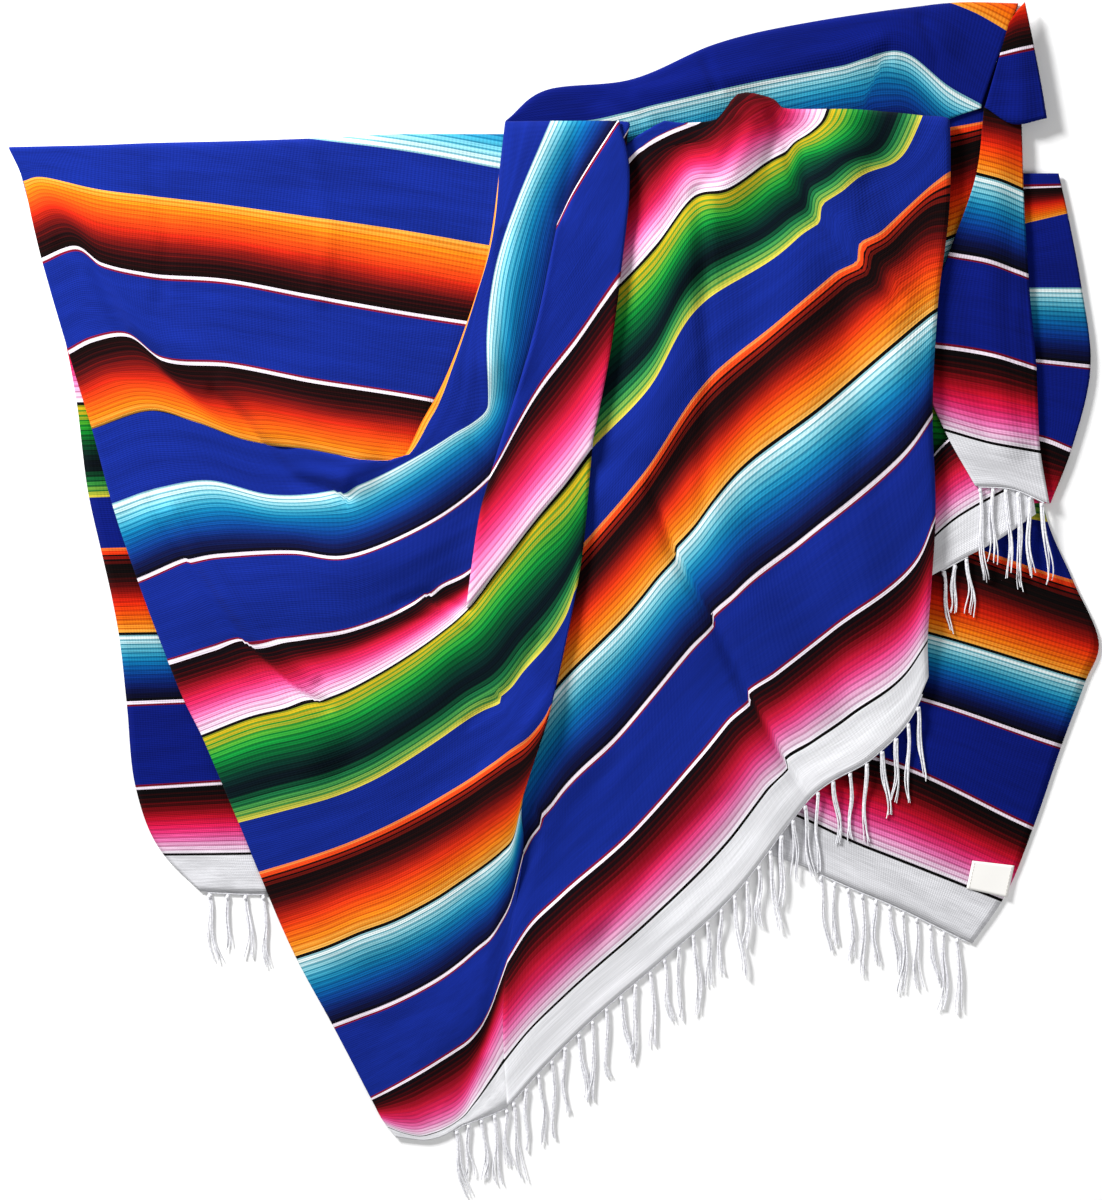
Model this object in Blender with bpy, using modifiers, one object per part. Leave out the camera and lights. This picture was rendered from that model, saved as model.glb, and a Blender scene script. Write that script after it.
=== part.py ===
"""A Mexican serape lying folded and heaped on the floor, as solids for collision, rest and mass.

One woven blanket, about 1.22 m by 2.03 m and fringed at both hems. The back half lies flat. The front half
is swept over it and shows as several stretches of cloth, and each stretch is an object of its own.

Tables give places in millimetres, seen from above: "across" runs from the left of the heap and "down" from
its far side. The script turns them into metres, with +X across, +Y away from the viewer and +Z up.
"""

from collections import namedtuple

import bmesh
import bpy
import numpy as np

# Driving sizes, in millimetres.
HEAP_MIDDLE = (554.0, 600.5)
CLOTH = 2.0

# The gap between two stretches at a seam, and room for the straight runs between places on a curved edge.
SEAM = 0.3
SEAM_ROOM = 0.5

# How much higher the middle of a stretch is than the middle of the cloth that it lies on.
LAP = 4.0

# Where cloth folds under, its edge comes down over this width, with places at these shares of it.
TURN = 7.0
TURN_SHARES = (0, 0.12, 0.45, 1.0)
CLEAR_OF_TURN = 1.6

# A curve's slope at a place is at most this many times that of the flatter straight run beside it.
MOST_STEEPER = 3.0

# Heights of the middle of each layer of cloth above the floor.
BACK_LEVEL = CLOTH / 2
UPPER_BACK_LEVEL = 3.6
INNER_STRIP_LEVEL = 4.2
SECOND_STRIP_LEVEL = 5.8
TOP_FOLD_LEVEL = 7.0
RIGHT_STRIP_LEVEL = 8.6
CORNER_FLAP_LEVEL = 11.6
FRONT_ON_FLOOR = 1.6
FRONT_ON_BACK = 4.6

# How far down the front's cloth begins to leave the back panel for the floor, and over what distance.
BACK_ENDS = 908
STEP_TO_FLOOR = 62

# Heights that folded edges come down to: on the top fold, which ends at this distance down, over the strips
# at the right, and on the back panel below them, reached over a step.
TOP_FOLD_ENDS = 160
EDGE_ON_TOP_FOLD = 10.2
EDGE_OVER_STRIPS = 11.6
EDGE_ON_BACK = 3.8
STRIPS_END = 590
STEP_TO_BACK = 60

# A stretch's row lies along a line between two bands, and each place on it is a station.
Row = namedtuple("Row", "line across down")

# Folded layers under the front, as soft-edged blocks that lift it.
Layers = namedtuple("Layers", "name left right top bottom soft thickness")
HIDDEN_LAYERS = (
    Layers("wide_layers", 40, 1400, -300, 880, 120, 3.0),
    Layers("right_layers", 520, 1400, -300, 720, 140, 10.0),
)

# Soft ridges: the stretches that have them, their path, the height at both ends, and how far they reach.
Ridge = namedtuple("Ridge", "name stretches path heights reach")
FRONT = ("upper_left_panel", "left_sweep", "centre_lap", "right_front")
RIDGES = (
    Ridge("fan_upper", FRONT, ((45, 215), (150, 320), (262, 402), (352, 462)), (5, 9), 42),
    Ridge("fan_lower", FRONT, ((165, 520), (228, 610), (318, 745)), (5, 7), 40),
    Ridge("left_swag", FRONT, ((205, 600), (300, 590), (420, 548)), (3, 8), 60),
    Ridge("long_sweep", FRONT, ((250, 770), (380, 720), (500, 610), (560, 480)), (4, 8), 70),
    Ridge("low_sweep", FRONT, ((330, 960), (430, 880), (500, 790)), (4, 7), 60),
    Ridge("corner_sweep", FRONT, ((400, 1090), (470, 1020), (560, 930)), (4, 8), 55),
    Ridge("upright", FRONT, ((540, 150), (515, 260), (500, 360)), (6, 9), 44),
    Ridge("hem_swell", FRONT, ((600, 900), (690, 800), (750, 730)), (7, 8), 60),
    Ridge("crease_left", FRONT, ((620, 500), (668, 600), (735, 720), (775, 800)), (7, 5), 45),
    Ridge("crease_right", FRONT, ((700, 500), (745, 600), (810, 700)), (6, 8), 45),
    Ridge("top_hump", FRONT, ((748, 112), (722, 180), (690, 260)), (13, 6), 46),
    Ridge("right_hump", FRONT, ((850, 125), (838, 190), (880, 290), (900, 400)), (9, 8), 46),
    Ridge("middle_column", FRONT, ((665, 250), (680, 360), (650, 440)), (6, 7), 45),
    Ridge("right_column", FRONT, ((800, 260), (790, 360), (830, 480), (860, 600)), (7, 6), 55),
    Ridge("top_fold_swell", ("top_fold",), ((620, 112), (760, 66), (900, 36), (935, 40)), (5, 4), 38),
    Ridge("strip_swell", ("right_strip",), ((1000, 150), (990, 300), (1010, 440)), (3, 4), 28),
    Ridge("flap_swell", ("corner_flap",), ((1018, 40), (1022, 112)), (2, 3), 20),
)

# How far the folded-over stretches rise above the front cloth that they lie on.
FOLD_RISES = (
    Ridge(
        "fold_over_left_panel",
        ("left_sweep", "centre_lap"),
        ((504, 122), (491, 242), (450, 370), (404, 458)),
        (9, 9),
        150,
    ),
    Ridge(
        "pleat_over_right_front",
        ("left_sweep", "centre_lap"),
        ((632, 135), (607, 368), (578, 582), (551, 700)),
        (6, 9),
        100,
    ),
    Ridge("pleat_end", ("left_sweep",), ((545, 736), (523, 850)), (8, 5), 64),
    Ridge("lap_edge", ("centre_lap",), ((552, 250), (516, 421), (472, 600)), (5, 1), 60),
)

# Lines that two stretches share.
SWEEP_TOP_LINE = {
    "across": (92, 148, 195, 245, 310, 366),
    "down": (429, 411, 422, 440, 450, 461),
}
PLEAT_SEAM = {
    "c_b": (523, 855),
    "b_a": (508, 960),
    "hem_line": (504, 1062),
    "hem_edge": (507, 1108),
}

BACK_ROWS = (
    Row("top", (16, 250, 520, 720, 870, 1008), (158, 152, 138, 64, 30, 18)),
    Row("g_f", (76, 250, 520, 720, 870, 1030), (403, 400, 400, 400, 395, 390)),
    Row("f_e", (88, 250, 520, 720, 870, 1048), (496, 490, 480, 470, 490, 520)),
    Row("e_d", (100, 250, 520, 720, 880, 1074), (549, 545, 535, 530, 528, 581)),
    Row("d_mid", (111, 250, 520, 720, 880, 1100), (597, 592, 584, 575, 582, 645)),
    Row("d_c", (118, 250, 520, 720, 880, 1087), (634, 632, 625, 610, 622, 680)),
    Row("c_b", (126, 250, 520, 720, 880, 1062), (704, 699, 690, 680, 690, 747)),
    Row("b_a", (135, 250, 520, 720, 872, 1034), (788, 781, 765, 745, 757, 828)),
    Row("hem_line", (163, 250, 520, 740, 868, 1003), (855, 854, 845, 800, 848, 901)),
    Row("hem_edge", (200, 262, 520, 740, 866, 973), (892, 894, 885, 850, 894, 944)),
)
UPPER_BACK_ROWS = (
    Row("k_mid", (1002, 1028, 1059), (173, 173, 173)),
    Row("k_j", (1002, 1030, 1068), (228, 222, 213)),
    Row("j_i", (1000, 1035, 1082), (288, 287, 287)),
    Row("i_h", (990, 1036, 1091), (356, 361, 367)),
    Row("h_g", (990, 1040, 1072), (428, 437, 449)),
    Row("tuck", (990, 1020, 1051), (497, 503, 503)),
)
UPPER_LEFT_ROWS = (
    Row("top", (8, 55, 98, 150, 235, 320, 410, 520), (147, 146, 145, 143, 141, 138, 134, 134)),
    Row("far_k_j", (23, 54, 96, 150, 225, 310, 400, 512), (181, 184, 190, 196, 205, 217, 231, 250)),
    Row("far_l_k", (42, 61, 100, 150, 225, 312, 396, 492), (261, 251, 264, 277, 283, 298, 314, 328)),
    Row("l_k", (68, 92, 127, 162, 232, 312, 390, 470), (351, 339, 334, 358, 365, 380, 392, 406)),
    Row("k_j", SWEEP_TOP_LINE["across"] + (398, 432), SWEEP_TOP_LINE["down"] + (464, 466)),
)
LEFT_SWEEP_ROWS = (
    Row(
        "k_j",
        SWEEP_TOP_LINE["across"] + (398, 424, 450, 474, 491, 506),
        SWEEP_TOP_LINE["down"] + (462, 420, 370, 305, 243, 123),
    ),
    Row(
        "j_i",
        (112, 160, 210, 270, 335, 388, 448, 488, 487, 495, 516, 550),
        (503, 487, 480, 494, 491, 472, 438, 405, 335, 270, 205, 123),
    ),
    Row(
        "i_h",
        (138, 190, 240, 293, 344, 400, 450, 493, 530, 553, 574, 618),
        (581, 561, 555, 553, 558, 539, 511, 474, 400, 315, 205, 124),
    ),
    Row(
        "h_g",
        (168, 240, 272, 306, 350, 400, 440, 478, 536, 562, 588, 628),
        (661, 641, 640, 636, 629, 610, 586, 562, 430, 328, 216, 130),
    ),
    Row(
        "g_mid",
        (184, 248, 286, 322, 363, 406, 440, 472, 520, 550, 577, 606),
        (700, 678, 672, 664, 651, 631, 610, 587, 500, 430, 350, 292),
    ),
    Row(
        "g_f",
        (202, 255, 300, 338, 376, 412, 440, 466, 502, 535, 565, 591),
        (736, 716, 706, 695, 676, 654, 634, 612, 565, 522, 486, 452),
    ),
    Row(
        "f_e",
        (238, 280, 331, 370, 405, 440, 470, 498, 525, 548, 565, 577),
        (821, 810, 796, 780, 760, 737, 716, 700, 668, 642, 615, 582),
    ),
    Row(
        "e_d",
        (259, 305, 345, 380, 412, 442, 468, 490, 510, 528, 543, 551),
        (873, 859, 845, 830, 814, 797, 781, 766, 751, 738, 720, 704),
    ),
    Row(
        "d_c",
        (296, 330, 360, 390, 417, 440, 458, 474, 489, 502, 513, 521),
        (958, 946, 933, 922, 909, 896, 884, 873, 862, 851, 838, 805),
    ),
    Row(
        "c_b",
        (333, 360, 384, 406, 427, 445, 461, 476, 490, 500, 511, PLEAT_SEAM["c_b"][0]),
        (1027, 1017, 1008, 998, 987, 976, 964, 951, 939, 924, 902, PLEAT_SEAM["c_b"][1]),
    ),
    Row(
        "b_a",
        (371, 390, 408, 425, 441, 455, 468, 478, 486, 492, 499, PLEAT_SEAM["b_a"][0]),
        (1099, 1089, 1079, 1069, 1059, 1050, 1041, 1030, 1017, 1004, 985, PLEAT_SEAM["b_a"][1]),
    ),
    Row(
        "hem_line",
        (388, 404, 420, 434, 446, 456, 465, 473, 480, 487, 494, PLEAT_SEAM["hem_line"][0]),
        (1128, 1134, 1137, 1134, 1129, 1123, 1116, 1106, 1097, 1087, 1077, PLEAT_SEAM["hem_line"][1]),
    ),
    Row(
        "hem_edge",
        (396, 412, 426, 440, 452, 461, 469, 477, 485, 493, 502, PLEAT_SEAM["hem_edge"][0]),
        (1138, 1140, 1141, 1138, 1132, 1126, 1123, 1120, 1117, 1114, 1110, PLEAT_SEAM["hem_edge"][1]),
    ),
)
CENTRE_LAP_ROWS = (
    Row("i_h", (558, 572, 588, 604, 618), (226, 197, 170, 145, 124)),
    Row("h_mid", (537, 563, 592, 612, 628), (325, 283, 238, 208, 170)),
    Row("h_g", (491, 536, 577, 602, 619), (476, 394, 340, 304, 280)),
    Row("g_mid", (478, 508, 540, 576, 607), (529, 494, 454, 410, 366)),
    Row("g_f", (467, 502, 535, 565, 590), (608, 563, 520, 484, 450)),
)
RIGHT_FRONT_ROWS = (
    Row(
        "h_mid",
        (592, 602, 612, 624, 635, 643, 650, 657, 664),
        (176, 167, 158, 148, 139, 134, 130, 126, 123),
    ),
    Row("h_g", (603, 617, 631, 643, 655, 665, 674, 682, 690), (192, 174, 158, 148, 140, 135, 131, 128, 125)),
    Row(
        "g_foot",
        (601, 616, 631, 645, 661, 677, 692, 706, 719),
        (207, 189, 174, 158, 147, 139, 133, 128, 121),
    ),
    Row("g_top", (600, 615, 630, 647, 668, 690, 709, 724, 738), (215, 199, 185, 167, 150, 143, 132, 116, 96)),
    Row(
        "g_high",
        (598, 614, 630, 652, 680, 706, 727, 750, 769),
        (232, 216, 201, 173, 148, 142, 126, 104, 100),
    ),
    Row(
        "g_mid",
        (596, 611, 627, 657, 686, 712, 740, 765, 783),
        (262, 246, 231, 195, 164, 159, 139, 118, 110),
    ),
    Row(
        "g_low",
        (593, 608, 625, 659, 692, 718, 751, 777, 803),
        (290, 273, 257, 215, 176, 173, 149, 125, 111),
    ),
    Row("g_f", (590, 605, 620, 655, 697, 724, 770, 811, 827), (318, 300, 286, 249, 197, 193, 158, 126, 111)),
    Row("f_e", (566, 580, 594, 648, 700, 780, 853, 904, 920), (478, 461, 444, 388, 304, 253, 181, 151, 117)),
    Row(
        "e_mid",
        (561, 575, 589, 646, 704, 779, 858, 928, 948),
        (527, 510, 494, 432, 344, 287, 216, 160, 121),
    ),
    Row("e_d", (556, 570, 584, 643, 707, 777, 865, 930, 949), (575, 559, 544, 475, 382, 324, 248, 188, 174)),
    Row("d_c", (515, 538, 562, 626, 679, 736, 820, 917, 936), (738, 709, 681, 616, 548, 474, 408, 325, 310)),
    Row(
        "c_b",
        (PLEAT_SEAM["c_b"][0], 536, 560, 620, 690, 740, 806, 908, 931),
        (PLEAT_SEAM["c_b"][1], 830, 795, 735, 650, 590, 538, 450, 416),
    ),
    Row(
        "b_a",
        (PLEAT_SEAM["b_a"][0], 530, 560, 627, 700, 752, 832, 918, 934),
        (PLEAT_SEAM["b_a"][1], 925, 896, 837, 755, 693, 628, 556, 516),
    ),
    Row(
        "hem_line",
        (PLEAT_SEAM["hem_line"][0], 530, 566, 648, 727, 788, 848, 908, 927),
        (PLEAT_SEAM["hem_line"][1], 1030, 995, 922, 843, 763, 717, 670, 640),
    ),
    Row(
        "hem_edge",
        (PLEAT_SEAM["hem_edge"][0], 543, 583, 662, 740, 810, 872, 915, 928),
        (PLEAT_SEAM["hem_edge"][1], 1068, 1028, 960, 887, 797, 757, 708, 676),
    ),
)
TOP_FOLD_ROWS = (
    Row("top", (506, 546, 629, 715, 810, 905, 962, 1019), (121, 90, 80, 44, 22, 8, 2, 3)),
    Row("far_j_i", (509, 590, 660, 745, 840, 905, 949, 982), (124, 120, 104, 84, 66, 53, 86, 104)),
    Row("under_front", (514, 600, 665, 742, 845, 912, 948, 981), (127, 148, 150, 128, 142, 146, 120, 108)),
)
CORNER_FLAP_ROWS = (
    Row("top", (1008, 1016, 1024), (24, 12, 3)),
    Row("far_l_k", (999, 1016, 1033), (56, 52, 48)),
    Row("l_mid", (991, 1015, 1040), (84, 87, 84)),
    Row("low", (984, 1013, 1046), (108, 125, 119)),
)
INNER_STRIP_ROWS = (
    Row("e_mid", (925, 955, 994), (114, 112, 108)),
    Row("e_d", (925, 955, 992), (131, 127, 120)),
    Row("d_c", (920, 948, 985), (248, 238, 222)),
    Row("c_mid", (918, 942, 972), (300, 288, 275)),
)
RIGHT_STRIP_ROWS = (
    Row("d_mid", (984, 1003, 1021), (106, 110, 114)),
    Row("d_c", (976, 1000, 1023), (174, 181, 190)),
    Row("c_b", (948, 985, 1028), (255, 262, 277)),
    Row("b_a", (916, 980, 1036), (343, 352, 368)),
    Row("hem_line", (944, 990, 1040), (430, 443, 452)),
    Row("hem_edge", (975, 1010, 1049), (486, 488, 504)),
)
SECOND_STRIP_ROWS = (
    Row("b_a", (916, 950, 985, 1018), (476, 438, 424, 414)),
    Row("hem_line", (918, 956, 1005, 1030), (552, 518, 490, 478)),
    Row("hem_edge", (922, 958, 998, 1036), (581, 561, 540, 514)),
)

# The hidden core, as its left, its right and its share of the full height at several distances down.
CoreSection = namedtuple("CoreSection", "down left right fullness")
CORE_SECTIONS = (
    CoreSection(182, 130, 860, 0.25),
    CoreSection(190, 105, 878, 0.75),
    CoreSection(230, 100, 884, 1.0),
    CoreSection(330, 122, 884, 1.0),
    CoreSection(430, 148, 884, 1.0),
    CoreSection(530, 180, 884, 1.0),
    CoreSection(620, 215, 868, 1.0),
    CoreSection(700, 246, 826, 1.0),
    CoreSection(760, 272, 760, 1.0),
    CoreSection(800, 292, 716, 1.0),
    CoreSection(826, 312, 670, 0.75),
    CoreSection(834, 330, 640, 0.25),
)
CORE_BOTTOM = 2.5
CORE_LEAST = 1.6
CORE_FOOT_INSET = 3
CORE_TOP_CELLS = 16
ROOM_OVER_CORE = 2.2

# The core's sides step in and out like folded layers: how far in, and at what share of the height.
CORE_SIDE_STEPS = ((0.0, 0.12), (1.5, 0.3), (0.0, 0.45), (2.0, 0.62), (1.0, 0.78), (6.0, 0.92), (16.0, 1.0))

# Tassels: where they start and end along the hem, the space between them, their length, how far across they
# begin to lie on the back panel instead of the floor, and how far down they lie on the second strip.
Tassels = namedtuple("Tassels", "node stretch first last spacing length on_back_from on_strip_until")
NEVER = 2000
TASSEL_ROWS = (
    Tassels("front_fringe_left", "left_sweep", 62, 118, 14, 62, NEVER, 0),
    Tassels("front_fringe_right", "right_front", 8, 590, 19, 72, 725, 0),
    Tassels("right_strip_fringe", "right_strip", 5, 72, 13, 88, 0, 580),
    Tassels("second_strip_fringe", "second_strip", 24, 50, 13, 58, 0, 0),
    Tassels("back_fringe_left", "back_panel", 9, 63, 18, 64, NEVER, 0),
    Tassels("back_fringe_right", "back_panel", 630, 788, 15, 72, NEVER, 0),
)
TASSEL_WIDTH = 5.0
TASSEL_THICK = 2.4
TASSEL_RINGS = 5
TIP_NARROWER = 0.55
TIP_THINNER = 0.35

# The strip that the tassels grow from: its gap to the hem, its width, and its thickness beside the cloth's.
STRIP_GAP = SEAM + 0.4
FRINGE_STRIP = 4.0
STRIP_THINNER = 0.9

# How far a tassel starts from the strip, the gap under it, and how soon it has sunk to what it lies on.
TASSEL_OUT = 2.0
TASSEL_DOWN = 3.0
TASSEL_GAP = 0.3
SINK = 1.8

# A tassel's lean, wave and length vary with its number, by a sine that moves on this far at each tassel.
LEAN, LEAN_VARIES, LEAN_STEP = 3.0, 5.0, 2.3
WAVE, WAVE_TURNS, WAVE_STEP = 2.0, 3.1, 1.7
LENGTH_VARIES, LENGTH_STEP, LENGTH_START = 0.14, 1.9, 0.6

LABEL_CORNERS = ((973, 861), (1015, 866), (1008, 898), (967, 889))
LABEL_THICK = 0.8
LABEL_GAP = 0.4

COLOURS = {
    "blue": "#1B2A9C",
    "white": "#E8E8EC",
    "orange": "#D2561E",
    "pink": "#D62A6E",
    "cyan": "#4FA8C0",
    "dark": "#3A1018",
    "grey": "#8C8C94",
}


def linear(hex_colour):
    """The hex colour as linear red, green, blue and alpha."""
    values = np.array([int(hex_colour[start : start + 2], 16) for start in (1, 3, 5)]) / 255
    straight = np.where(values <= 0.04045, values / 12.92, ((values + 0.055) / 1.055) ** 2.4)
    return (*straight, 1.0)


def make_material(name, colour):
    """Woven acrylic and cotton: matt, and never metallic."""
    material = bpy.data.materials.new(name)
    material.use_nodes = True
    shader = material.node_tree.nodes["Principled BSDF"]
    shader.inputs["Base Color"].default_value = linear(COLOURS[colour])
    shader.inputs["Roughness"].default_value = 0.9
    shader.inputs["Metallic"].default_value = 0.0
    return material


def in_metres(places):
    """Places in the tables' millimetres, as metres about the middle of the heap."""
    middle_across, middle_down = HEAP_MIDDLE
    across, down, up = np.moveaxis(places, -1, 0)
    return np.stack([across - middle_across, middle_down - down, up], axis=-1) / 1000


def smooth(share):
    """0 below 0, 1 above 1, with soft ends."""
    share = np.clip(share, 0.0, 1.0)
    return share * share * (3 - 2 * share)


def path_distance(across, down, path):
    """Distance from each place to a path of straight runs, and the nearest point's share of the path."""
    path = np.array(path, float)
    lengths = np.hypot(*(path[1:] - path[:-1]).T)
    starts = np.concatenate([[0], np.cumsum(lengths)])
    nearest = np.full(across.shape, np.inf)
    along = np.zeros(across.shape)
    for start, end, length, before in zip(path[:-1], path[1:], lengths, starts):
        step = (end - start) / length
        run = np.clip((across - start[0]) * step[0] + (down - start[1]) * step[1], 0, length)
        distance = np.hypot(across - start[0] - run * step[0], down - start[1] - run * step[1])
        closer = distance < nearest
        nearest = np.where(closer, distance, nearest)
        along = np.where(closer, (before + run) / starts[-1], along)
    return nearest, along


def ridge_height(across, down, stretch, ridges):
    """What the ridges add to the height of a stretch at each place."""
    total = np.zeros(across.shape)
    for ridge in ridges:
        if stretch not in ridge.stretches:
            continue
        distance, along = path_distance(across, down, ridge.path)
        crest = ridge.heights[0] + (ridge.heights[1] - ridge.heights[0]) * along
        total += crest * (1 - smooth(distance / ridge.reach))
    return total


def front_level(across, down):
    """Height of the front's cloth over the floor, the back panel and the hidden layers, without ridges."""
    on_floor = smooth((down - BACK_ENDS) / STEP_TO_FLOOR)
    level = FRONT_ON_BACK + (FRONT_ON_FLOOR - FRONT_ON_BACK) * on_floor
    for layers in HIDDEN_LAYERS:
        depths = (across - layers.left, layers.right - across, down - layers.top, layers.bottom - down)
        inside = np.prod([smooth(depth / layers.soft) for depth in depths], axis=0)
        level = level + layers.thickness * inside
    return level


def front_height(across, down, stretch):
    """Height of the middle of a front stretch's cloth."""
    height = front_level(across, down) + ridge_height(across, down, stretch, RIDGES)
    height = height + ridge_height(across, down, stretch, FOLD_RISES)
    return height + (LAP if stretch == "centre_lap" else 0)


def curve_through(knots, values, samples):
    """A smooth curve through the values at the knots, read at the samples, along the first axis."""
    slopes = np.gradient(values, knots, axis=0)
    # A slope far steeper than the flatter run beside it would throw the curve past its own points.
    runs = np.diff(values, axis=0) / np.diff(knots).reshape((-1,) + (1,) * (values.ndim - 1))
    flatter = np.minimum(np.abs(runs[:-1]), np.abs(runs[1:]))
    slopes[1:-1] = np.clip(slopes[1:-1], -MOST_STEEPER * flatter, MOST_STEEPER * flatter)
    span = np.clip(np.searchsorted(knots, samples, side="right") - 1, 0, len(knots) - 2)
    width = knots[span + 1] - knots[span]
    share = (samples - knots[span]) / width
    shape = (-1,) + (1,) * (values.ndim - 1)
    share, width = share.reshape(shape), width.reshape(shape)
    start, end = values[span], values[span + 1]
    start_slope, end_slope = slopes[span] * width, slopes[span + 1] * width
    square, cube = share**2, share**3
    return (
        (2 * cube - 3 * square + 1) * start
        + (cube - 2 * square + share) * start_slope
        + (3 * square - 2 * cube) * end
        + (cube - square) * end_slope
    )


def mean_knots(places, axis):
    """Distances in millimetres along one axis of a table of places, averaged over the other."""
    steps = np.linalg.norm(np.diff(places, axis=axis), axis=-1).mean(axis=1 - axis)
    return np.concatenate([[0], np.cumsum(steps)])


def sample_knots(knots, cell, turned_first, turned_last):
    """Samples at most a cell apart between knots, and closer ones at an edge where the cloth turns down."""
    counts = np.ceil(np.diff(knots) / cell).astype(int)
    runs = [np.linspace(*ends, count, endpoint=False) for *ends, count in zip(knots[:-1], knots[1:], counts)]
    samples = np.concatenate([*runs, knots[-1:]])
    close = np.array(TURN_SHARES) * TURN
    clear = CLEAR_OF_TURN * TURN
    if turned_first:
        samples = np.concatenate([close, samples[samples > clear]])
    if turned_last:
        samples = np.concatenate([samples[samples < knots[-1] - clear], knots[-1] - close[::-1]])
    return samples


def turned_share(distance):
    """How much of the drop at a turned edge is left this far from it: 1 at the edge, 0 at TURN."""
    from_full = np.clip(1 - distance / TURN, 0, 1)
    return 1 - np.sqrt(1 - from_full**2)


def draw_in(plan, side):
    """Moves a side of the plan inward, by its half of the seam and the room for straight runs."""
    edge, beside = {
        "first_row": (plan[0], plan[1]),
        "last_row": (plan[-1], plan[-2]),
        "first_station": (plan[:, 0], plan[:, 1]),
        "last_station": (plan[:, -1], plan[:, -2]),
    }[side]
    inward = beside - edge
    edge += inward / np.linalg.norm(inward, axis=-1, keepdims=True) * (SEAM / 2 + SEAM_ROOM)


def follow_neighbour(edge, neighbour):
    """Sets the part of an edge below the pleat a seam's width to the right of the neighbour's edge."""
    shared = edge[:, 1] > PLEAT_SEAM["c_b"][1] - 1
    edge[shared, 0] = np.interp(edge[shared, 1], neighbour[:, 1], neighbour[:, 0]) + SEAM + 2 * SEAM_ROOM


def lay_stretch(stretch, neighbour):
    """Grid of places on a stretch of cloth, whose first station follows the neighbour's edge if given."""
    table = np.array([[row.across, row.down] for row in stretch.rows], float).transpose(0, 2, 1)
    turned = stretch.turned
    along, over = mean_knots(table, 1), mean_knots(table, 0)
    stations = sample_knots(along, stretch.cell[0], "first_station" in turned, "last_station" in turned)
    lines = sample_knots(over, stretch.cell[1], "first_row" in turned, False)
    plan = curve_through(over, table, lines)
    plan = curve_through(along, plan.transpose(1, 0, 2), stations).transpose(1, 0, 2)
    for side in stretch.seams:
        draw_in(plan, side)
    if neighbour is not None:
        follow_neighbour(plan[:, 0], neighbour)
    across, down = plan[..., 0], plan[..., 1]
    height = stretch.height_of(across, down)
    drop = np.maximum(height - stretch.rest_of(across, down), 0)
    from_sides = {
        "first_row": lines[:, None],
        "first_station": stations[None, :],
        "last_station": stations[-1] - stations[None, :],
    }
    gone = np.zeros(height.shape)
    for side in turned:
        gone = np.maximum(gone, turned_share(from_sides[side]))
    return np.dstack([across, down, height - drop * gone])


def new_object(name, mesh, colour, collection):
    """An object of this mesh, smooth, in the collection, with a material of its own."""
    mesh.materials.append(make_material(name + "_cloth", colour))
    for face in mesh.polygons:
        face.use_smooth = True
    obj = bpy.data.objects.new(name, mesh)
    collection.objects.link(obj)
    return obj


def make_cloth(name, places, colour, collection):
    """A wall of cloth: a grid of these places, made CLOTH thick."""
    row_count, station_count = places.shape[:2]
    shell = bmesh.new()
    bmesh.ops.create_grid(shell, x_segments=station_count - 1, y_segments=row_count - 1, size=1)
    # create_grid numbers its points along x first, from -y to +y, so the last row is the grid's first.
    points = in_metres(places)[::-1].reshape(-1, 3)
    shell.verts.ensure_lookup_table()
    for vert, point in zip(shell.verts, points):
        vert.co = point
    mesh = bpy.data.meshes.new(name)
    shell.to_mesh(mesh)
    shell.free()
    obj = new_object(name, mesh, colour, collection)
    wall = obj.modifiers.new("cloth_thickness", "SOLIDIFY")
    wall.thickness = CLOTH / 1000
    wall.offset = 0.0
    return obj


def loft(body, rings):
    """Joins rings of equal length into a closed form in the bmesh, and returns the faces ring by ring."""
    loops = [[body.verts.new(point) for point in in_metres(np.array(ring, float))] for ring in rings]
    bands = []
    for ring, following in zip(loops[:-1], loops[1:]):
        beside = ring[1:] + ring[:1]
        following_beside = following[1:] + following[:1]
        quads = zip(ring, beside, following_beside, following)
        bands.append([body.faces.new(quad) for quad in quads])
    body.faces.new(loops[0][::-1])
    body.faces.new(loops[-1])
    return bands


def object_from(body, name, colour, collection):
    """Closes the bmesh with its faces pointing out, and makes an object of it."""
    bmesh.ops.recalc_face_normals(body, faces=body.faces)
    mesh = bpy.data.meshes.new(name)
    body.to_mesh(mesh)
    body.free()
    return new_object(name, mesh, colour, collection)


def make_loft(name, rings, colour, collection):
    """A closed body through rings of equal length."""
    body = bmesh.new()
    loft(body, rings)
    return object_from(body, name, colour, collection)


def core_ring(section):
    """One section of the hidden layers: flat below, stepped like folded layers at the sides, soft above."""
    across_top = np.linspace(section.left, section.right, CORE_TOP_CELLS + 1)
    down_top = np.full(across_top.shape, float(section.down))
    full = front_level(across_top, down_top) - CLOTH / 2 - ROOM_OVER_CORE - CORE_BOTTOM
    rise = np.maximum(full, CORE_LEAST) * section.fullness
    foot_left, foot_right = section.left + CORE_FOOT_INSET, section.right - CORE_FOOT_INSET
    left_side = [(section.left + inset, CORE_BOTTOM + rise[0] * share) for inset, share in CORE_SIDE_STEPS]
    right_side = [(section.right - inset, CORE_BOTTOM + rise[-1] * share) for inset, share in CORE_SIDE_STEPS]
    over = list(zip(across_top[1:-1], CORE_BOTTOM + rise[1:-1]))
    outline = left_side + over + right_side[::-1] + [(foot_right, CORE_BOTTOM), (foot_left, CORE_BOTTOM)]
    return [(across, section.down, up) for across, up in outline]


def hem_places(places):
    """The last row of a stretch, and how far along it each of its places is."""
    hem = places[-1]
    distances = np.concatenate([[0], np.cumsum(np.linalg.norm(np.diff(hem[:, :2], axis=0), axis=1))])
    return hem, distances


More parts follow.
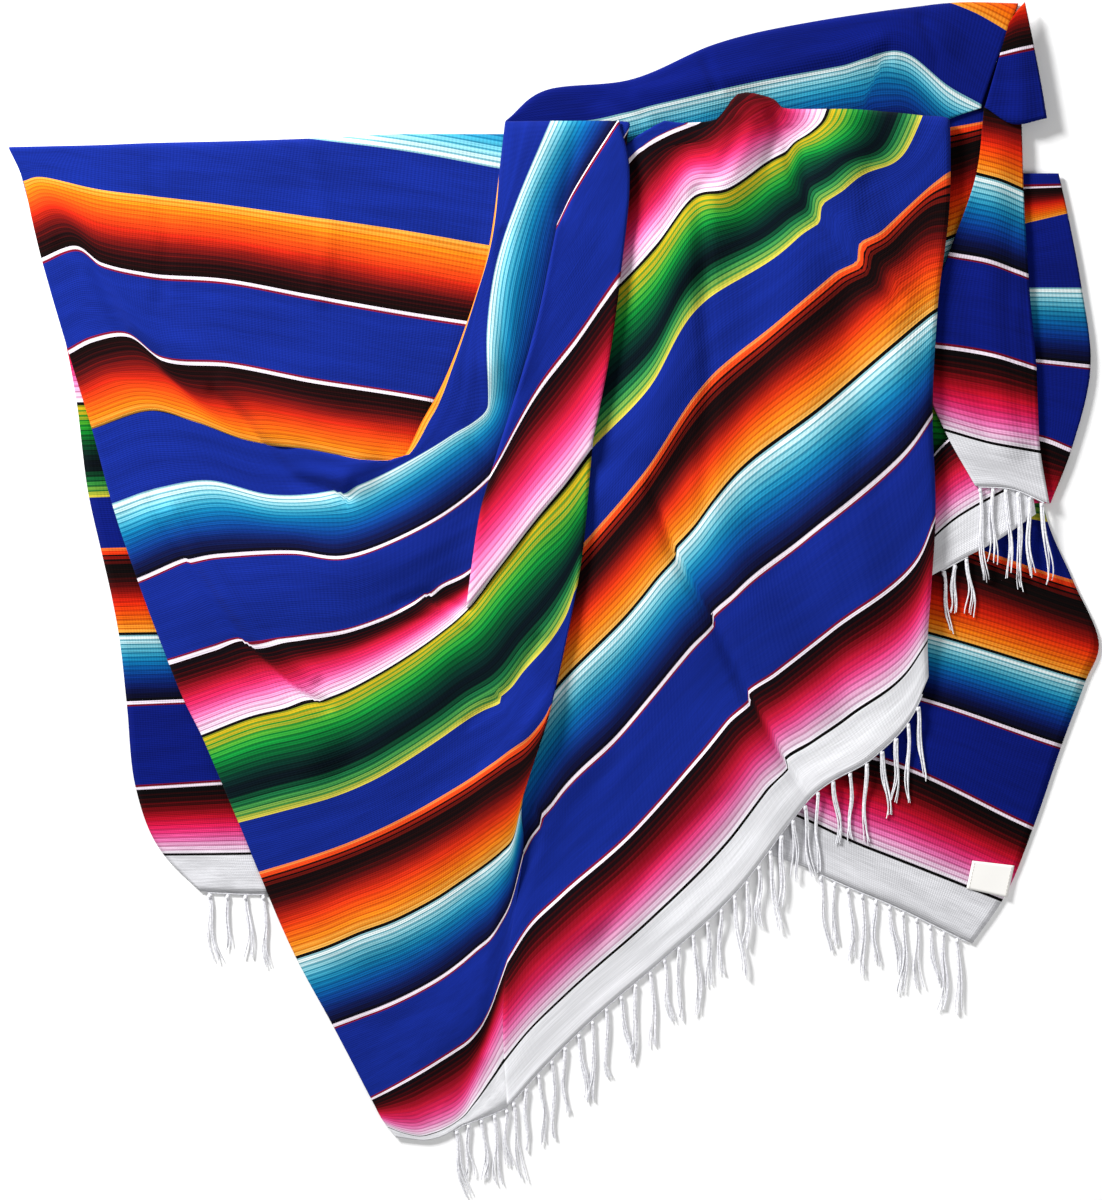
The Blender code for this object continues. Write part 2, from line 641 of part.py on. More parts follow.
def tassel_path(tassels, number, root, outward):
    """Middle of a tassel at each ring: out of the strip, then down the heap, sinking to where it rests."""
    shares = np.linspace(0, 1, TASSEL_RINGS + 1)[1:]
    lean = LEAN_VARIES * np.sin(LEAN_STEP * number) + LEAN
    wave = WAVE * np.sin(WAVE_TURNS * shares + WAVE_STEP * number)
    length = tassels.length * (1 + LENGTH_VARIES * np.sin(LENGTH_STEP * number + LENGTH_START))
    across = root[0] + outward[0] * TASSEL_OUT + (lean + wave) * shares
    down = root[1] + TASSEL_DOWN + length * shares
    rest = np.full(shares.shape, CLOTH if root[0] > tassels.on_back_from else 0.0)
    rest[down < tassels.on_strip_until] = SECOND_STRIP_LEVEL + CLOTH / 2
    low = rest + TASSEL_THICK / 2 + TASSEL_GAP
    up = low + (root[2] - low) * (1 - smooth(shares * SINK))
    return np.stack([across, down, up], axis=-1)


def strip_ring(place, outward):
    """One section of the strip beside the hem: inner low, inner high, outer high and outer low."""
    inner = place[:2] + outward * STRIP_GAP
    outer = inner + outward * FRINGE_STRIP
    low, high = (place[2] + side * CLOTH / 2 * STRIP_THINNER for side in (-1, 1))
    return [(*inner, low), (*inner, high), (*outer, high), (*outer, low)]


def draw_tassel(body, face, path):
    """Extrudes the strip's outer face along the path, one ring at a time, into a tassel that tapers."""
    for step, middle in enumerate(path, start=1):
        share = step / len(path)
        wide = TASSEL_WIDTH / 2 * (1 - TIP_NARROWER * share**2)
        thick = TASSEL_THICK / 2 * (1 - TIP_THINNER * share)
        face = bmesh.ops.extrude_discrete_faces(body, faces=[face])["faces"][0]
        corners = np.array([(-wide, 0, thick), (-wide, 0, -thick), (wide, 0, -thick), (wide, 0, thick)])
        for vert, point in zip(face.verts, in_metres(middle + corners)):
            vert.co = point


def make_fringe(tassels, places, colour, collection):
    """A narrow strip just outside the hem, with its tassels drawn out of the strip's outer side."""
    hem, distances = hem_places(places)
    middles = np.arange(tassels.first, tassels.last + 0.1, tassels.spacing)
    cuts = np.sort(np.concatenate([middles - TASSEL_WIDTH / 2, middles + TASSEL_WIDTH / 2]))
    line = np.stack([np.interp(cuts, distances, hem[:, axis]) for axis in range(3)], axis=-1)
    tangent = np.gradient(line[:, :2], axis=0)
    tangent /= np.linalg.norm(tangent, axis=1)[:, None]
    outward = np.stack([-tangent[:, 1], tangent[:, 0]], axis=-1)
    body = bmesh.new()
    bands = loft(body, [strip_ring(place, out) for place, out in zip(line, outward)])
    for number in range(1, len(middles) + 1):
        first = 2 * (number - 1)
        root = (line[first] + line[first + 1]) / 2
        outer_face = bands[first][2]
        draw_tassel(body, outer_face, tassel_path(tassels, number, root, outward[first]))
    return object_from(body, tassels.node, colour, collection)


def level(height):
    """A height that is the same everywhere."""
    return lambda across, down: np.full(across.shape, float(height))


def level_with_ridges(height, stretch):
    """A flat height with the stretch's own ridges on it."""
    return lambda across, down: height + ridge_height(across, down, stretch, RIDGES)


def height_of_front(stretch):
    """The height of a front stretch's cloth, from across and down."""
    return lambda across, down: front_height(across, down, stretch)


def rest_on_front(across, down):
    """The height of a fold's edge that comes down on the front cloth, or on the top fold."""
    on_front = front_level(across, down) + ridge_height(across, down, "right_front", RIDGES) + LAP
    return np.maximum(on_front, np.where(down < TOP_FOLD_ENDS, EDGE_ON_TOP_FOLD, 0))


def rest_on_sweep(across, down):
    """The height of the lap's edge on the sweep."""
    return front_height(across, down, "left_sweep") + LAP


def rest_of_right_front(across, down):
    """The right front's edge stays high over the right strips, then comes down to the back panel."""
    past_strips = smooth((down - STRIPS_END) / STEP_TO_BACK)
    return EDGE_OVER_STRIPS + (EDGE_ON_BACK - EDGE_OVER_STRIPS) * past_strips


# A stretch of cloth: its rows, the size of its cells along a row and from row to row, the sides that fold
# under, the sides that stop short of a neighbour, its height, the height that folded edges come down to, and
# its main colour.
Stretch = namedtuple("Stretch", "name rows cell turned seams height_of rest_of colour")
FLOOR = level(BACK_LEVEL)
STRETCHES = (
    Stretch("back_panel", BACK_ROWS, (80, 40), (), (), FLOOR, FLOOR, "blue"),
    Stretch("upper_back_fold", UPPER_BACK_ROWS, (15, 30), (), (), level(UPPER_BACK_LEVEL), FLOOR, "blue"),
    Stretch(
        "upper_left_panel",
        UPPER_LEFT_ROWS,
        (18, 30),
        ("first_row",),
        ("last_row",),
        height_of_front("upper_left_panel"),
        FLOOR,
        "orange",
    ),
    Stretch(
        "left_sweep",
        LEFT_SWEEP_ROWS,
        (17, 28),
        ("first_row", "last_station"),
        ("first_row", "last_station"),
        height_of_front("left_sweep"),
        rest_on_front,
        "blue",
    ),
    Stretch(
        "centre_lap",
        CENTRE_LAP_ROWS,
        (15, 28),
        ("first_station", "last_station"),
        (),
        height_of_front("centre_lap"),
        rest_on_sweep,
        "pink",
    ),
    Stretch(
        "right_front",
        RIGHT_FRONT_ROWS,
        (26, 32),
        ("last_station",),
        (),
        height_of_front("right_front"),
        rest_of_right_front,
        "orange",
    ),
    Stretch(
        "top_fold",
        TOP_FOLD_ROWS,
        (34, 20),
        ("first_row",),
        (),
        level_with_ridges(TOP_FOLD_LEVEL, "top_fold"),
        FLOOR,
        "blue",
    ),
    Stretch(
        "corner_flap",
        CORNER_FLAP_ROWS,
        (9, 14),
        (),
        (),
        level_with_ridges(CORNER_FLAP_LEVEL, "corner_flap"),
        FLOOR,
        "dark",
    ),
    Stretch("inner_strip", INNER_STRIP_ROWS, (18, 25), (), (), level(INNER_STRIP_LEVEL), FLOOR, "orange"),
    Stretch(
        "right_strip",
        RIGHT_STRIP_ROWS,
        (14, 25),
        (),
        (),
        level_with_ridges(RIGHT_STRIP_LEVEL, "right_strip"),
        FLOOR,
        "pink",
    ),
    Stretch("second_strip", SECOND_STRIP_ROWS, (18, 20), (), (), level(SECOND_STRIP_LEVEL), FLOOR, "white"),
)


def main():
    for obj in list(bpy.data.objects):
        bpy.data.objects.remove(obj)
    serape = bpy.data.collections.new("mexican_serape")
    bpy.context.scene.collection.children.link(serape)

    laid = {}
    for stretch in STRETCHES:
        neighbour = laid["left_sweep"][:, -1] if stretch.name == "right_front" else None
        laid[stretch.name] = lay_stretch(stretch, neighbour)
        make_cloth(stretch.name, laid[stretch.name], stretch.colour, serape)

    make_loft("hidden_layers", [core_ring(section) for section in CORE_SECTIONS], "grey", serape)
    for tassels in TASSEL_ROWS:
        make_fringe(tassels, laid[tassels.stretch], "white", serape)
    low = CLOTH + LABEL_GAP
    label = [[(across, down, up) for across, down in LABEL_CORNERS] for up in (low, low + LABEL_THICK)]
    make_loft("label", label, "white", serape)


main()
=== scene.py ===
# %% [markdown]
# # A Mexican serape in a flat heap
# A serape is one long woven blanket with a fringe at both ends. This one lies on the floor: its back half is
# flat, and its front half is swept over it in broad folds. The lesson lays the cloth stretch by stretch in
# place of the frame's solids, weaves its stripes with shader nodes, and ties its tassels.

import bmesh
import bpy
import numpy as np
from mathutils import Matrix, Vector


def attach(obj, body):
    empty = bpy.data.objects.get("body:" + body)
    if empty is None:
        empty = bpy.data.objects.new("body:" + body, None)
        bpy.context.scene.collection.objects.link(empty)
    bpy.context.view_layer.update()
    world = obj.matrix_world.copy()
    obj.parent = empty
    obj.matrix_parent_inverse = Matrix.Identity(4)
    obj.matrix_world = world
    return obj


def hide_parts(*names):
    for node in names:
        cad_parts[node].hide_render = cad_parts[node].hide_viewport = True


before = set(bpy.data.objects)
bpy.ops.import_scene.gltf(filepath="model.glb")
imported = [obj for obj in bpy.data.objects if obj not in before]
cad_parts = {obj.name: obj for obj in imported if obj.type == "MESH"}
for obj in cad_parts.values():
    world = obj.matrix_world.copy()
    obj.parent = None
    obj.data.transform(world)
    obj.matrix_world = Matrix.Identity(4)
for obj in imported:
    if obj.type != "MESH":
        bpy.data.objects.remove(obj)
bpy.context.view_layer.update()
print("nodes in the frame:", len(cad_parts))

# %% [markdown]
# ## Sizes
# Places are in millimetres as seen from above: across from the heap's left, and down from its far side. One
# function turns them into metres about the heap's middle. The cloth is woven about 2 mm thick.

# %% Sizes and places
HEAP_MIDDLE = (554.0, 600.5)
# The cloth's wall, the lap's height over the sweep, and the width of an edge that is turned down.
CLOTH, LAP, TURN = 1.9, 4.0, 7.0
# Cells: along a row and from row to row. A flat stretch needs fewer.
CELL, FLAT_CELL = (2.6, 4.6), (8.0, 8.0)
# Heights of the middle of the cloth. The front leaves the back panel for the floor on its way down.
FRONT_ON_FLOOR, FRONT_ON_BACK = 1.6, 4.6
LEAVES_BACK, LEAVING_RUN = 908, 62
LEVELS = {
    "back_panel": 1.0,
    "upper_back_fold": 3.6,
    "inner_strip": 4.2,
    "second_strip": 5.8,
    "top_fold": 7.0,
    "right_strip": 8.6,
    "corner_flap": 11.6,
}


def new_object(name, data):
    """Puts a new object into the scene."""
    made = bpy.data.objects.new(name, data)
    bpy.context.scene.collection.objects.link(made)
    return made


def running_sum(steps):
    """0, and then the sums of the steps so far."""
    return np.concatenate([[0], np.cumsum(steps)])


def in_metres(places):
    """Places in the tables' millimetres, as metres in the frame."""
    across, down, up = np.moveaxis(np.asarray(places, float), -1, 0)
    return np.stack([across - HEAP_MIDDLE[0], HEAP_MIDDLE[1] - down, up], axis=-1) / 1000


print("cloth wall in mm:", CLOTH, " cells in mm:", CELL, "and", FLAT_CELL)

# %% [markdown]
# ## The woven bands
# The weaver beats in one colour after another, so every stripe runs straight across the blanket, and its
# place is one number: how far it lies from the hem. The far half mirrors the near one, and "far_" means the
# same line in that half.

# %% Lines between the bands
MIDDLE = 1013
LINES = {
    "hem_edge": 0, "hem_line": 51, "b_a": 131, "c_b": 222, "d_c": 299, "e_d": 390, "f_e": 444,
    "g_f": 537, "h_g": 624, "i_h": 718, "j_i": 801, "k_j": 879, "l_k": 964,
}


def woven(line):
    """Distance in millimetres of a line from the front hem, along the cloth."""
    if line.startswith("far_"):
        return 2 * MIDDLE - LINES[line[4:]]
    return LINES[line]


def row(line, across, down, distance=None):
    """Places and woven distances of a line across a stretch. A named line gives its own distance."""
    distance = woven(line) if distance is None else distance
    return np.stack(np.broadcast_arrays(across, down, np.array(distance, float)), axis=-1)


print("woven length in m:", 2 * MIDDLE / 1000)

# %% [markdown]
# ## How the front lies
# Hidden layers lift the front like a low cushion, and long soft ridges run through it where the cloth was
# dragged. Each ridge is a path with a height at both ends and a reach, so it can be edited by itself. A
# crease is a ridge with a short reach, and most creases are sunk.

# %% Hidden layers, ridges and creases
FRONT = ("upper_left_panel", "left_sweep", "centre_lap", "right_front")
HIDDEN_LAYERS = (
    # left, right, top, bottom, soft, thickness
    (40, 1400, -300, 880, 120, 3.0),
    (520, 1400, -300, 720, 140, 10.0),
)
RIDGES = (
    # path, height at its start and end, reach, stretches (the whole front where none is named)
    (((45, 215), (150, 320), (262, 402), (352, 462)), (5, 9), 42),
    (((165, 520), (228, 610), (318, 745)), (5, 7), 40),
    (((205, 600), (300, 590), (420, 548)), (3, 8), 60),
    (((250, 770), (380, 720), (500, 610), (560, 480)), (4, 8), 70),
    (((330, 960), (430, 880), (500, 790)), (4, 7), 60),
    (((400, 1090), (470, 1020), (560, 930)), (4, 8), 55),
    (((540, 150), (515, 260), (500, 360)), (6, 9), 44),
    (((600, 900), (690, 800), (750, 730)), (7, 8), 60),
    (((620, 500), (668, 600), (735, 720), (775, 800)), (7, 5), 45),
    (((700, 500), (745, 600), (810, 700)), (6, 8), 45),
    (((748, 112), (722, 180), (690, 260)), (13, 6), 46),
    (((850, 125), (838, 190), (880, 290), (900, 400)), (9, 8), 46),
    (((665, 250), (680, 360), (650, 440)), (6, 7), 45),
    (((800, 260), (790, 360), (830, 480), (860, 600)), (7, 6), 55),
    (((620, 112), (760, 66), (900, 36), (935, 40)), (5, 4), 38, "top_fold"),
    (((1000, 150), (990, 300), (1010, 440)), (3, 4), 28, "right_strip"),
    (((1018, 40), (1022, 112)), (2, 3), 20, "corner_flap"),
)
FOLD_RISES = (
    (((504, 122), (491, 242), (450, 370), (404, 458)), (9, 9), 150, "left_sweep", "centre_lap"),
    (((632, 135), (607, 368), (578, 582), (551, 700)), (6, 9), 100, "left_sweep", "centre_lap"),
    (((545, 736), (523, 850)), (8, 5), 64, "left_sweep"),
    (((552, 250), (516, 421), (472, 600)), (5, 1), 60, "centre_lap"),
)
CREASES = (
    (((61, 246), (92, 262), (125, 333), (158, 357)), (-2.4, -3.0), 13),
    (((214, 392), (240, 416), (257, 441), (274, 463), (292, 480), (323, 490), (348, 498)), (-3.2, -3.8), 11),
    (((226, 380), (256, 412), (276, 440), (300, 466), (346, 480)), (2.6, 3.4), 13),
    (((152, 500), (180, 548), (214, 600), (246, 643), (292, 690), (326, 706)), (-3.0, -4.2), 11),
    (((172, 512), (200, 552), (232, 598), (266, 640), (312, 676)), (2.4, 3.2), 13),
    (((436, 408), (470, 432), (493, 470)), (-2.4, -3.4), 13),
    (((398, 604), (430, 594), (466, 610)), (-2.0, -3.0), 10),
    (((406, 614), (440, 606), (464, 622)), (1.4, 2.0), 9),
    (((470, 722), (504, 697), (540, 640)), (-2.2, -3.2), 11),
    (((486, 770), (522, 736), (552, 690)), (2.0, 1.6), 11),
    (((484, 1046), (497, 985), (512, 905), (530, 842)), (-2.0, -3.0), 16),
    (((652, 488), (671, 546), (687, 575), (712, 617), (748, 695), (789, 765), (815, 800)), (-4.0, -4.6), 13),
    (((790, 138), (804, 203), (838, 243), (858, 264), (892, 303)), (-5.0, -3.0), 15),
    (((699, 196), (704, 310), (709, 380), (702, 520)), (-3.2, -1.6), 15),
    (((740, 128), (722, 170), (692, 198), (664, 232)), (-2.6, -1.8), 13),
    (((771, 118), (778, 132), (766, 166)), (-3.0, -1.4), 10),
    (((868, 168), (862, 236)), (-0.9, -0.6), 14),
    (((745, 360), (764, 450), (803, 520)), (1.5, 1.0), 18),
    (((506, 235), (498, 300), (505, 372)), (-2.4, -1.6), 11),
    (((576, 150), (561, 214)), (-2.0, -2.6), 10),
    (((310, 150), (330, 230), (318, 300)), (0.9, 1.4), 16),
    (((150, 168), (168, 240), (160, 300)), (-0.9, -1.2), 14),
    (((598, 940), (650, 868), (716, 800)), (-1.8, -2.2), 16),
    (((640, 690), (612, 760), (560, 840)), (-1.4, -1.8), 18),
    (((872, 420), (842, 520), (850, 600)), (-1.6, -1.2), 20),
    (((640, 92), (760, 74), (880, 42)), (1.5, 2.0), 13, "top_fold"),
    (((700, 46), (716, 88)), (-2.0, -1.4), 10, "top_fold"),
    (((560, 92), (604, 100), (640, 118)), (-1.6, -2.0), 12, "top_fold"),
    (((884, 58), (872, 84), (862, 112)), (-3.4, -3.0), 13, "top_fold"),
    (((922, 20), (944, 72), (952, 100)), (-1.8, -2.4), 11, "top_fold"),
    (((1020, 230), (1016, 330), (1030, 430)), (1.0, 1.6), 10, "right_strip"),
)
# Where cloth is drawn into a crease, the stripes on its two sides no longer meet.
SLIPS = (
    # path from the far side down, how far the weave has moved at both ends of its left side and of its right
    # side, reach, width of the step, stretches
    (((794, 135), (794, 179), (809, 203), (829, 225), (848, 246), (870, 268), (898, 302)),
        (5, 8), (-11, -5), 34, 20),
    (((652, 488), (671, 546), (687, 575), (712, 619), (748, 695), (787, 764), (812, 796)),
        (2, 6), (-3, -5), 34, 2),
    (((180, 548), (214, 600), (244, 640), (292, 684), (326, 706)), (-2, -4), (1, 6), 30, 2),
    (((322, 474), (338, 490), (352, 506)), (-3, -2), (4, 6), 20, 2),
    (((419, 580), (430, 598), (441, 612)), (-2, -3), (2, 3), 18, 2),
    (((536, 806), (541, 822), (545, 836)), (3, 3), (-3, -3), 18, 2),
    (((496, 690), (502, 702), (512, 716)), (2, 3), (-3, -2), 20, 2),
    (((884, 58), (872, 84), (862, 110)), (-3, -3), (3, 4), 24, 2, "top_fold"),
)
# A slip fades over this share of its path at each end, and over this distance at the hem.
SLIP_FADE, SLIP_FADE_AT_HEM = 0.12, 8
# Slack and creases grow from a height over the floor. Creases leave room for the layers below, and meet the
# lowest height they may reach in a round bend.
WAVES_FROM, WAVES_GROW, WAVES_OFF_FRONT = 2.5, 4.0, 0.25
CREASES_FROM, CREASES_GROW = 1.6, 3.0
ROOM_FOR_CREASES, LOWEST_CREASE, CREASE_ROUNDING = 1.8, 1.4, 0.4


def smooth(share):
    """0 below 0, 1 above 1, with soft ends."""
    share = np.clip(share, 0.0, 1.0)
    return share * share * (3 - 2 * share)


def path_distance(across, down, path):
    """Distance from each place to a path of straight runs, and how far along it the nearest point is."""
    path = np.array(path, float)
    lengths = np.hypot(*(path[1:] - path[:-1]).T)
    starts = running_sum(lengths)
    nearest = np.full(across.shape, np.inf)
    along = np.zeros(across.shape)
    for start, end, length, before in zip(path[:-1], path[1:], lengths, starts):
        step = (end - start) / length
        run = np.clip((across - start[0]) * step[0] + (down - start[1]) * step[1], 0, length)
        distance = np.hypot(across - start[0] - run * step[0], down - start[1] - run * step[1])
        closer = distance < nearest
        nearest = np.where(closer, distance, nearest)
        along = np.where(closer, (before + run) / starts[-1], along)
    return nearest, along


def ridge_height(across, down, stretch, ridges):
    """What the ridges add to a stretch's height."""
    total = np.zeros(across.shape)
    for path, (first, last), reach, *stretches in ridges:
        if stretch in (stretches or FRONT):
            distance, along = path_distance(across, down, path)
            total += (first + (last - first) * along) * (1 - smooth(distance / reach))
    return total


def side_of(across, down, path):
    """Distance to a path that runs down the heap, below 0 on its left, and how far along it that is."""
    distance, along = path_distance(across, down, path)
    places = np.array(path, float)
    on_path = np.interp(down, places[:, 1], places[:, 0])
    return np.where(across >= on_path, distance, -distance), along


def slipped(distances, across, down, stretch):
    """Woven distances with the slips at the creases, which leave the hem alone."""
    moved = np.zeros(across.shape)
    for path, left, right, reach, width, *stretches in SLIPS:
        if stretch in (stretches or FRONT):
            side, along = side_of(across, down, path)
            ends = smooth(along / SLIP_FADE) * smooth((1 - along) / SLIP_FADE)
            here = (1 - smooth(np.abs(side) / reach)) * ends
            left_move, right_move = (first + (last - first) * along for first, last in (left, right))
            to_right = smooth(0.5 + side / width)
            moved += here * (left_move + (right_move - left_move) * to_right)
    return distances + moved * smooth(distances / SLIP_FADE_AT_HEM)


def soft_unevenness(across, down):
    """The slack of a handwoven cloth, within about a millimetre: two sets of waves that bend one another."""
    broad = np.sin(across / 31 + 1.4 * np.sin(down / 47)) * np.sin(down / 38 + 0.9 * np.sin(across / 53))
    fine = np.sin(across / 13 + 2.1 * np.sin(down / 21)) * np.sin(down / 15 + 1.3)
    return 0.55 * broad + 0.2 * fine


def front_level(across, down):
    """Height of the front's cloth before its ridges."""
    level = FRONT_ON_BACK + (FRONT_ON_FLOOR - FRONT_ON_BACK) * smooth((down - LEAVES_BACK) / LEAVING_RUN)
    for left, right, top, bottom, soft, thickness in HIDDEN_LAYERS:
        inside = smooth((across - left) / soft) * smooth((right - across) / soft)
        level = level + thickness * inside * smooth((down - top) / soft) * smooth((bottom - down) / soft)
    return level


def stretch_height(across, down, stretch):
    """Height of the middle of a stretch's cloth."""
    if stretch in FRONT:
        height = front_level(across, down) + ridge_height(across, down, stretch, FOLD_RISES)
        height = height + (LAP if stretch == "centre_lap" else 0)
    else:
        height = np.full(across.shape, LEVELS[stretch])
    if stretch == "back_panel":
        return height
    height = height + ridge_height(across, down, stretch, RIDGES)
    creases = ridge_height(across, down, stretch, CREASES)
    waves = soft_unevenness(across, down) * smooth((height - WAVES_FROM) / WAVES_GROW)
    if stretch not in FRONT:
        return height + np.maximum(creases, LEVELS[stretch] - height) + WAVES_OFF_FRONT * waves
    creased = height + waves + creases * smooth((height - CREASES_FROM) / CREASES_GROW)
    lowest = np.maximum(front_level(across, down) - ROOM_FOR_CREASES, LOWEST_CREASE)
    return (creased + lowest + np.sqrt((creased - lowest) ** 2 + CREASE_ROUNDING)) / 2


print("ridges and creases:", len(RIDGES) + len(CREASES))

# %% [markdown]
# ## The lines of each stretch
# Each visible stretch is a table of rows. A row follows one line of the weave: its places say where the line
# lies now, and its woven distance says which thread it is, so the stripes come out right by themselves. Names
# in capitals hold places that two stretches share, so that they meet without a gap.

# %% Tables of rows
SWEEP_TOP_ACROSS = (92, 148, 195, 245, 310, 366)
SWEEP_TOP_DOWN = (429, 411, 422, 440, 450, 461)
# The pleat's seam, where it crosses four lines of the weave.
SEAM_C, SEAM_B, SEAM_LINE, SEAM_EDGE = (523, 855), (508, 960), (504, 1062), (507, 1108)
PLEAT_TOP = SEAM_C[1]


def from_back_hem(*distances):
    """Distances measured from the back hem, as distances from the front one."""
    return 2 * MIDDLE - np.array(distances, float)


ROWS = {}
ROWS["back_panel"] = (
    ("top", (16, 250, 520, 720, 870, 1008), (158, 152, 138, 64, 30, 18),
        from_back_hem(782, 785, 799, 873, 902, 909)),
    ("far_g_f", (76, 250, 520, 720, 870, 1030), (403, 400, 400, 400, 395, 390)),
    ("far_f_e", (88, 250, 520, 720, 870, 1048), (496, 490, 480, 470, 490, 520)),
    ("far_e_d", (100, 250, 520, 720, 880, 1074), (549, 545, 535, 530, 528, 581)),
    ("d_mid", (111, 250, 520, 720, 880, 1100), (597, 592, 584, 575, 582, 645), from_back_hem(340)),
    ("far_d_c", (118, 250, 520, 720, 880, 1087), (634, 632, 625, 610, 622, 680)),
    ("far_c_b", (126, 250, 520, 720, 880, 1062), (704, 699, 690, 680, 690, 747)),
    ("far_b_a", (135, 250, 520, 720, 872, 1034), (788, 781, 765, 745, 757, 828)),
    ("far_hem_line", (163, 250, 520, 740, 868, 1003), (855, 854, 845, 800, 848, 901)),
    ("far_hem_edge", (200, 262, 520, 740, 866, 973), (892, 894, 885, 850, 894, 944)),
)
ROWS["upper_back_fold"] = (
    ("k_mid", (1002, 1028, 1059), (173, 173, 173), from_back_hem(978)),
    ("far_l_k", (1002, 1029, 1062), (188, 187, 186)),
    ("far_k_j", (1002, 1030, 1068), (228, 222, 213)),
    ("far_j_i", (1000, 1035, 1082), (288, 287, 287)),
    ("far_i_h", (990, 1036, 1091), (356, 361, 367)),
    ("far_h_g", (990, 1040, 1072), (428, 437, 449)),
    ("tuck", (990, 1020, 1051), (497, 503, 503), from_back_hem(569)),
)
ROWS["upper_left_panel"] = (
    ("top", (8, 55, 98, 150, 235, 320, 410, 520), (147, 146, 145, 143, 141, 138, 134, 134),
        (1185, 1187, 1192, 1201, 1213, 1228, 1243, 1262)),
    ("far_k_j", (23, 42, 96, 150, 225, 310, 400, 512), (181, 177, 189, 196, 205, 217, 230, 250)),
    ("far_l_k", (42, 76, 103, 146, 225, 312, 396, 492), (261, 249, 266, 276, 282, 298, 313, 328)),
    ("l_k", (68, 92, 127, 162, 232, 312, 390, 470), (351, 339, 334, 358, 365, 380, 392, 406)),
    ("k_j", SWEEP_TOP_ACROSS + (398, 432), SWEEP_TOP_DOWN + (464, 466)),
)
ROWS["left_sweep"] = (
    # The fold's edge runs just inside the orange band, so a thin line of it shows.
    ("k_j", SWEEP_TOP_ACROSS + (398, 424, 450, 474, 491, 506),
        SWEEP_TOP_DOWN + (462, 420, 370, 305, 243, 123), (879,) * 5 + (881, 888, 889, 889, 889, 887, 872)),
    ("j_i", (112, 160, 210, 270, 335, 388, 448, 488, 487, 495, 516, 550),
        (503, 487, 480, 494, 491, 472, 438, 405, 335, 270, 205, 123)),
    ("i_h", (138, 190, 240, 293, 344, 400, 450, 493, 530, 553, 574, 618),
        (581, 561, 555, 553, 558, 539, 511, 474, 400, 315, 205, 124)),
    ("h_g", (168, 240, 272, 306, 350, 400, 440, 478, 536, 562, 588, 628),
        (661, 641, 640, 636, 629, 610, 586, 562, 430, 328, 216, 130)),
    ("g_mid", (184, 248, 286, 322, 363, 406, 440, 472, 520, 550, 577, 606),
        (700, 678, 672, 664, 651, 631, 610, 587, 500, 430, 350, 292), 580),
    ("g_f", (202, 255, 300, 338, 376, 412, 440, 466, 502, 535, 565, 591),
        (736, 716, 706, 695, 676, 654, 634, 612, 565, 522, 486, 452)),
    ("f_e", (238, 280, 331, 370, 405, 440, 470, 498, 525, 548, 565, 577),
        (821, 810, 796, 780, 760, 737, 716, 700, 668, 642, 615, 582)),
    ("e_d", (259, 305, 345, 380, 412, 442, 468, 490, 510, 528, 543, 551),
        (873, 859, 845, 830, 814, 797, 781, 766, 751, 738, 720, 704)),
    ("d_c", (296, 330, 360, 390, 417, 440, 458, 474, 489, 502, 513, 521),
        (958, 946, 933, 922, 909, 896, 884, 873, 862, 851, 838, 805)),
    ("c_b", (333, 360, 384, 406, 427, 445, 461, 476, 490, 500, 511, SEAM_C[0]),
        (1027, 1017, 1008, 998, 987, 976, 964, 951, 939, 924, 902, SEAM_C[1])),
    ("b_a", (371, 390, 408, 425, 441, 455, 468, 478, 486, 492, 499, SEAM_B[0]),
        (1099, 1089, 1079, 1069, 1059, 1050, 1041, 1030, 1017, 1004, 985, SEAM_B[1])),
    ("hem_line", (388, 404, 420, 434, 446, 456, 465, 473, 480, 487, 494, SEAM_LINE[0]),
        (1128, 1134, 1137, 1134, 1129, 1123, 1116, 1106, 1097, 1087, 1077, SEAM_LINE[1])),
    ("hem_edge", (396, 412, 426, 440, 452, 461, 469, 477, 485, 493, 502, SEAM_EDGE[0]),
        (1138, 1140, 1141, 1138, 1132, 1126, 1123, 1120, 1117, 1114, 1110, SEAM_EDGE[1])),
)
ROWS["centre_lap"] = (
    ("i_h", (558, 572, 588, 604, 618), (226, 197, 170, 145, 124)),
    ("h_mid", (537, 563, 592, 612, 628), (325, 283, 238, 208, 170), 671),
    ("h_g", (491, 536, 577, 602, 619), (476, 394, 340, 304, 280)),
    ("g_mid", (478, 508, 540, 576, 607), (529, 494, 454, 410, 366), 580),
    ("g_f", (467, 502, 535, 565, 590), (608, 563, 520, 484, 450), 540),
)
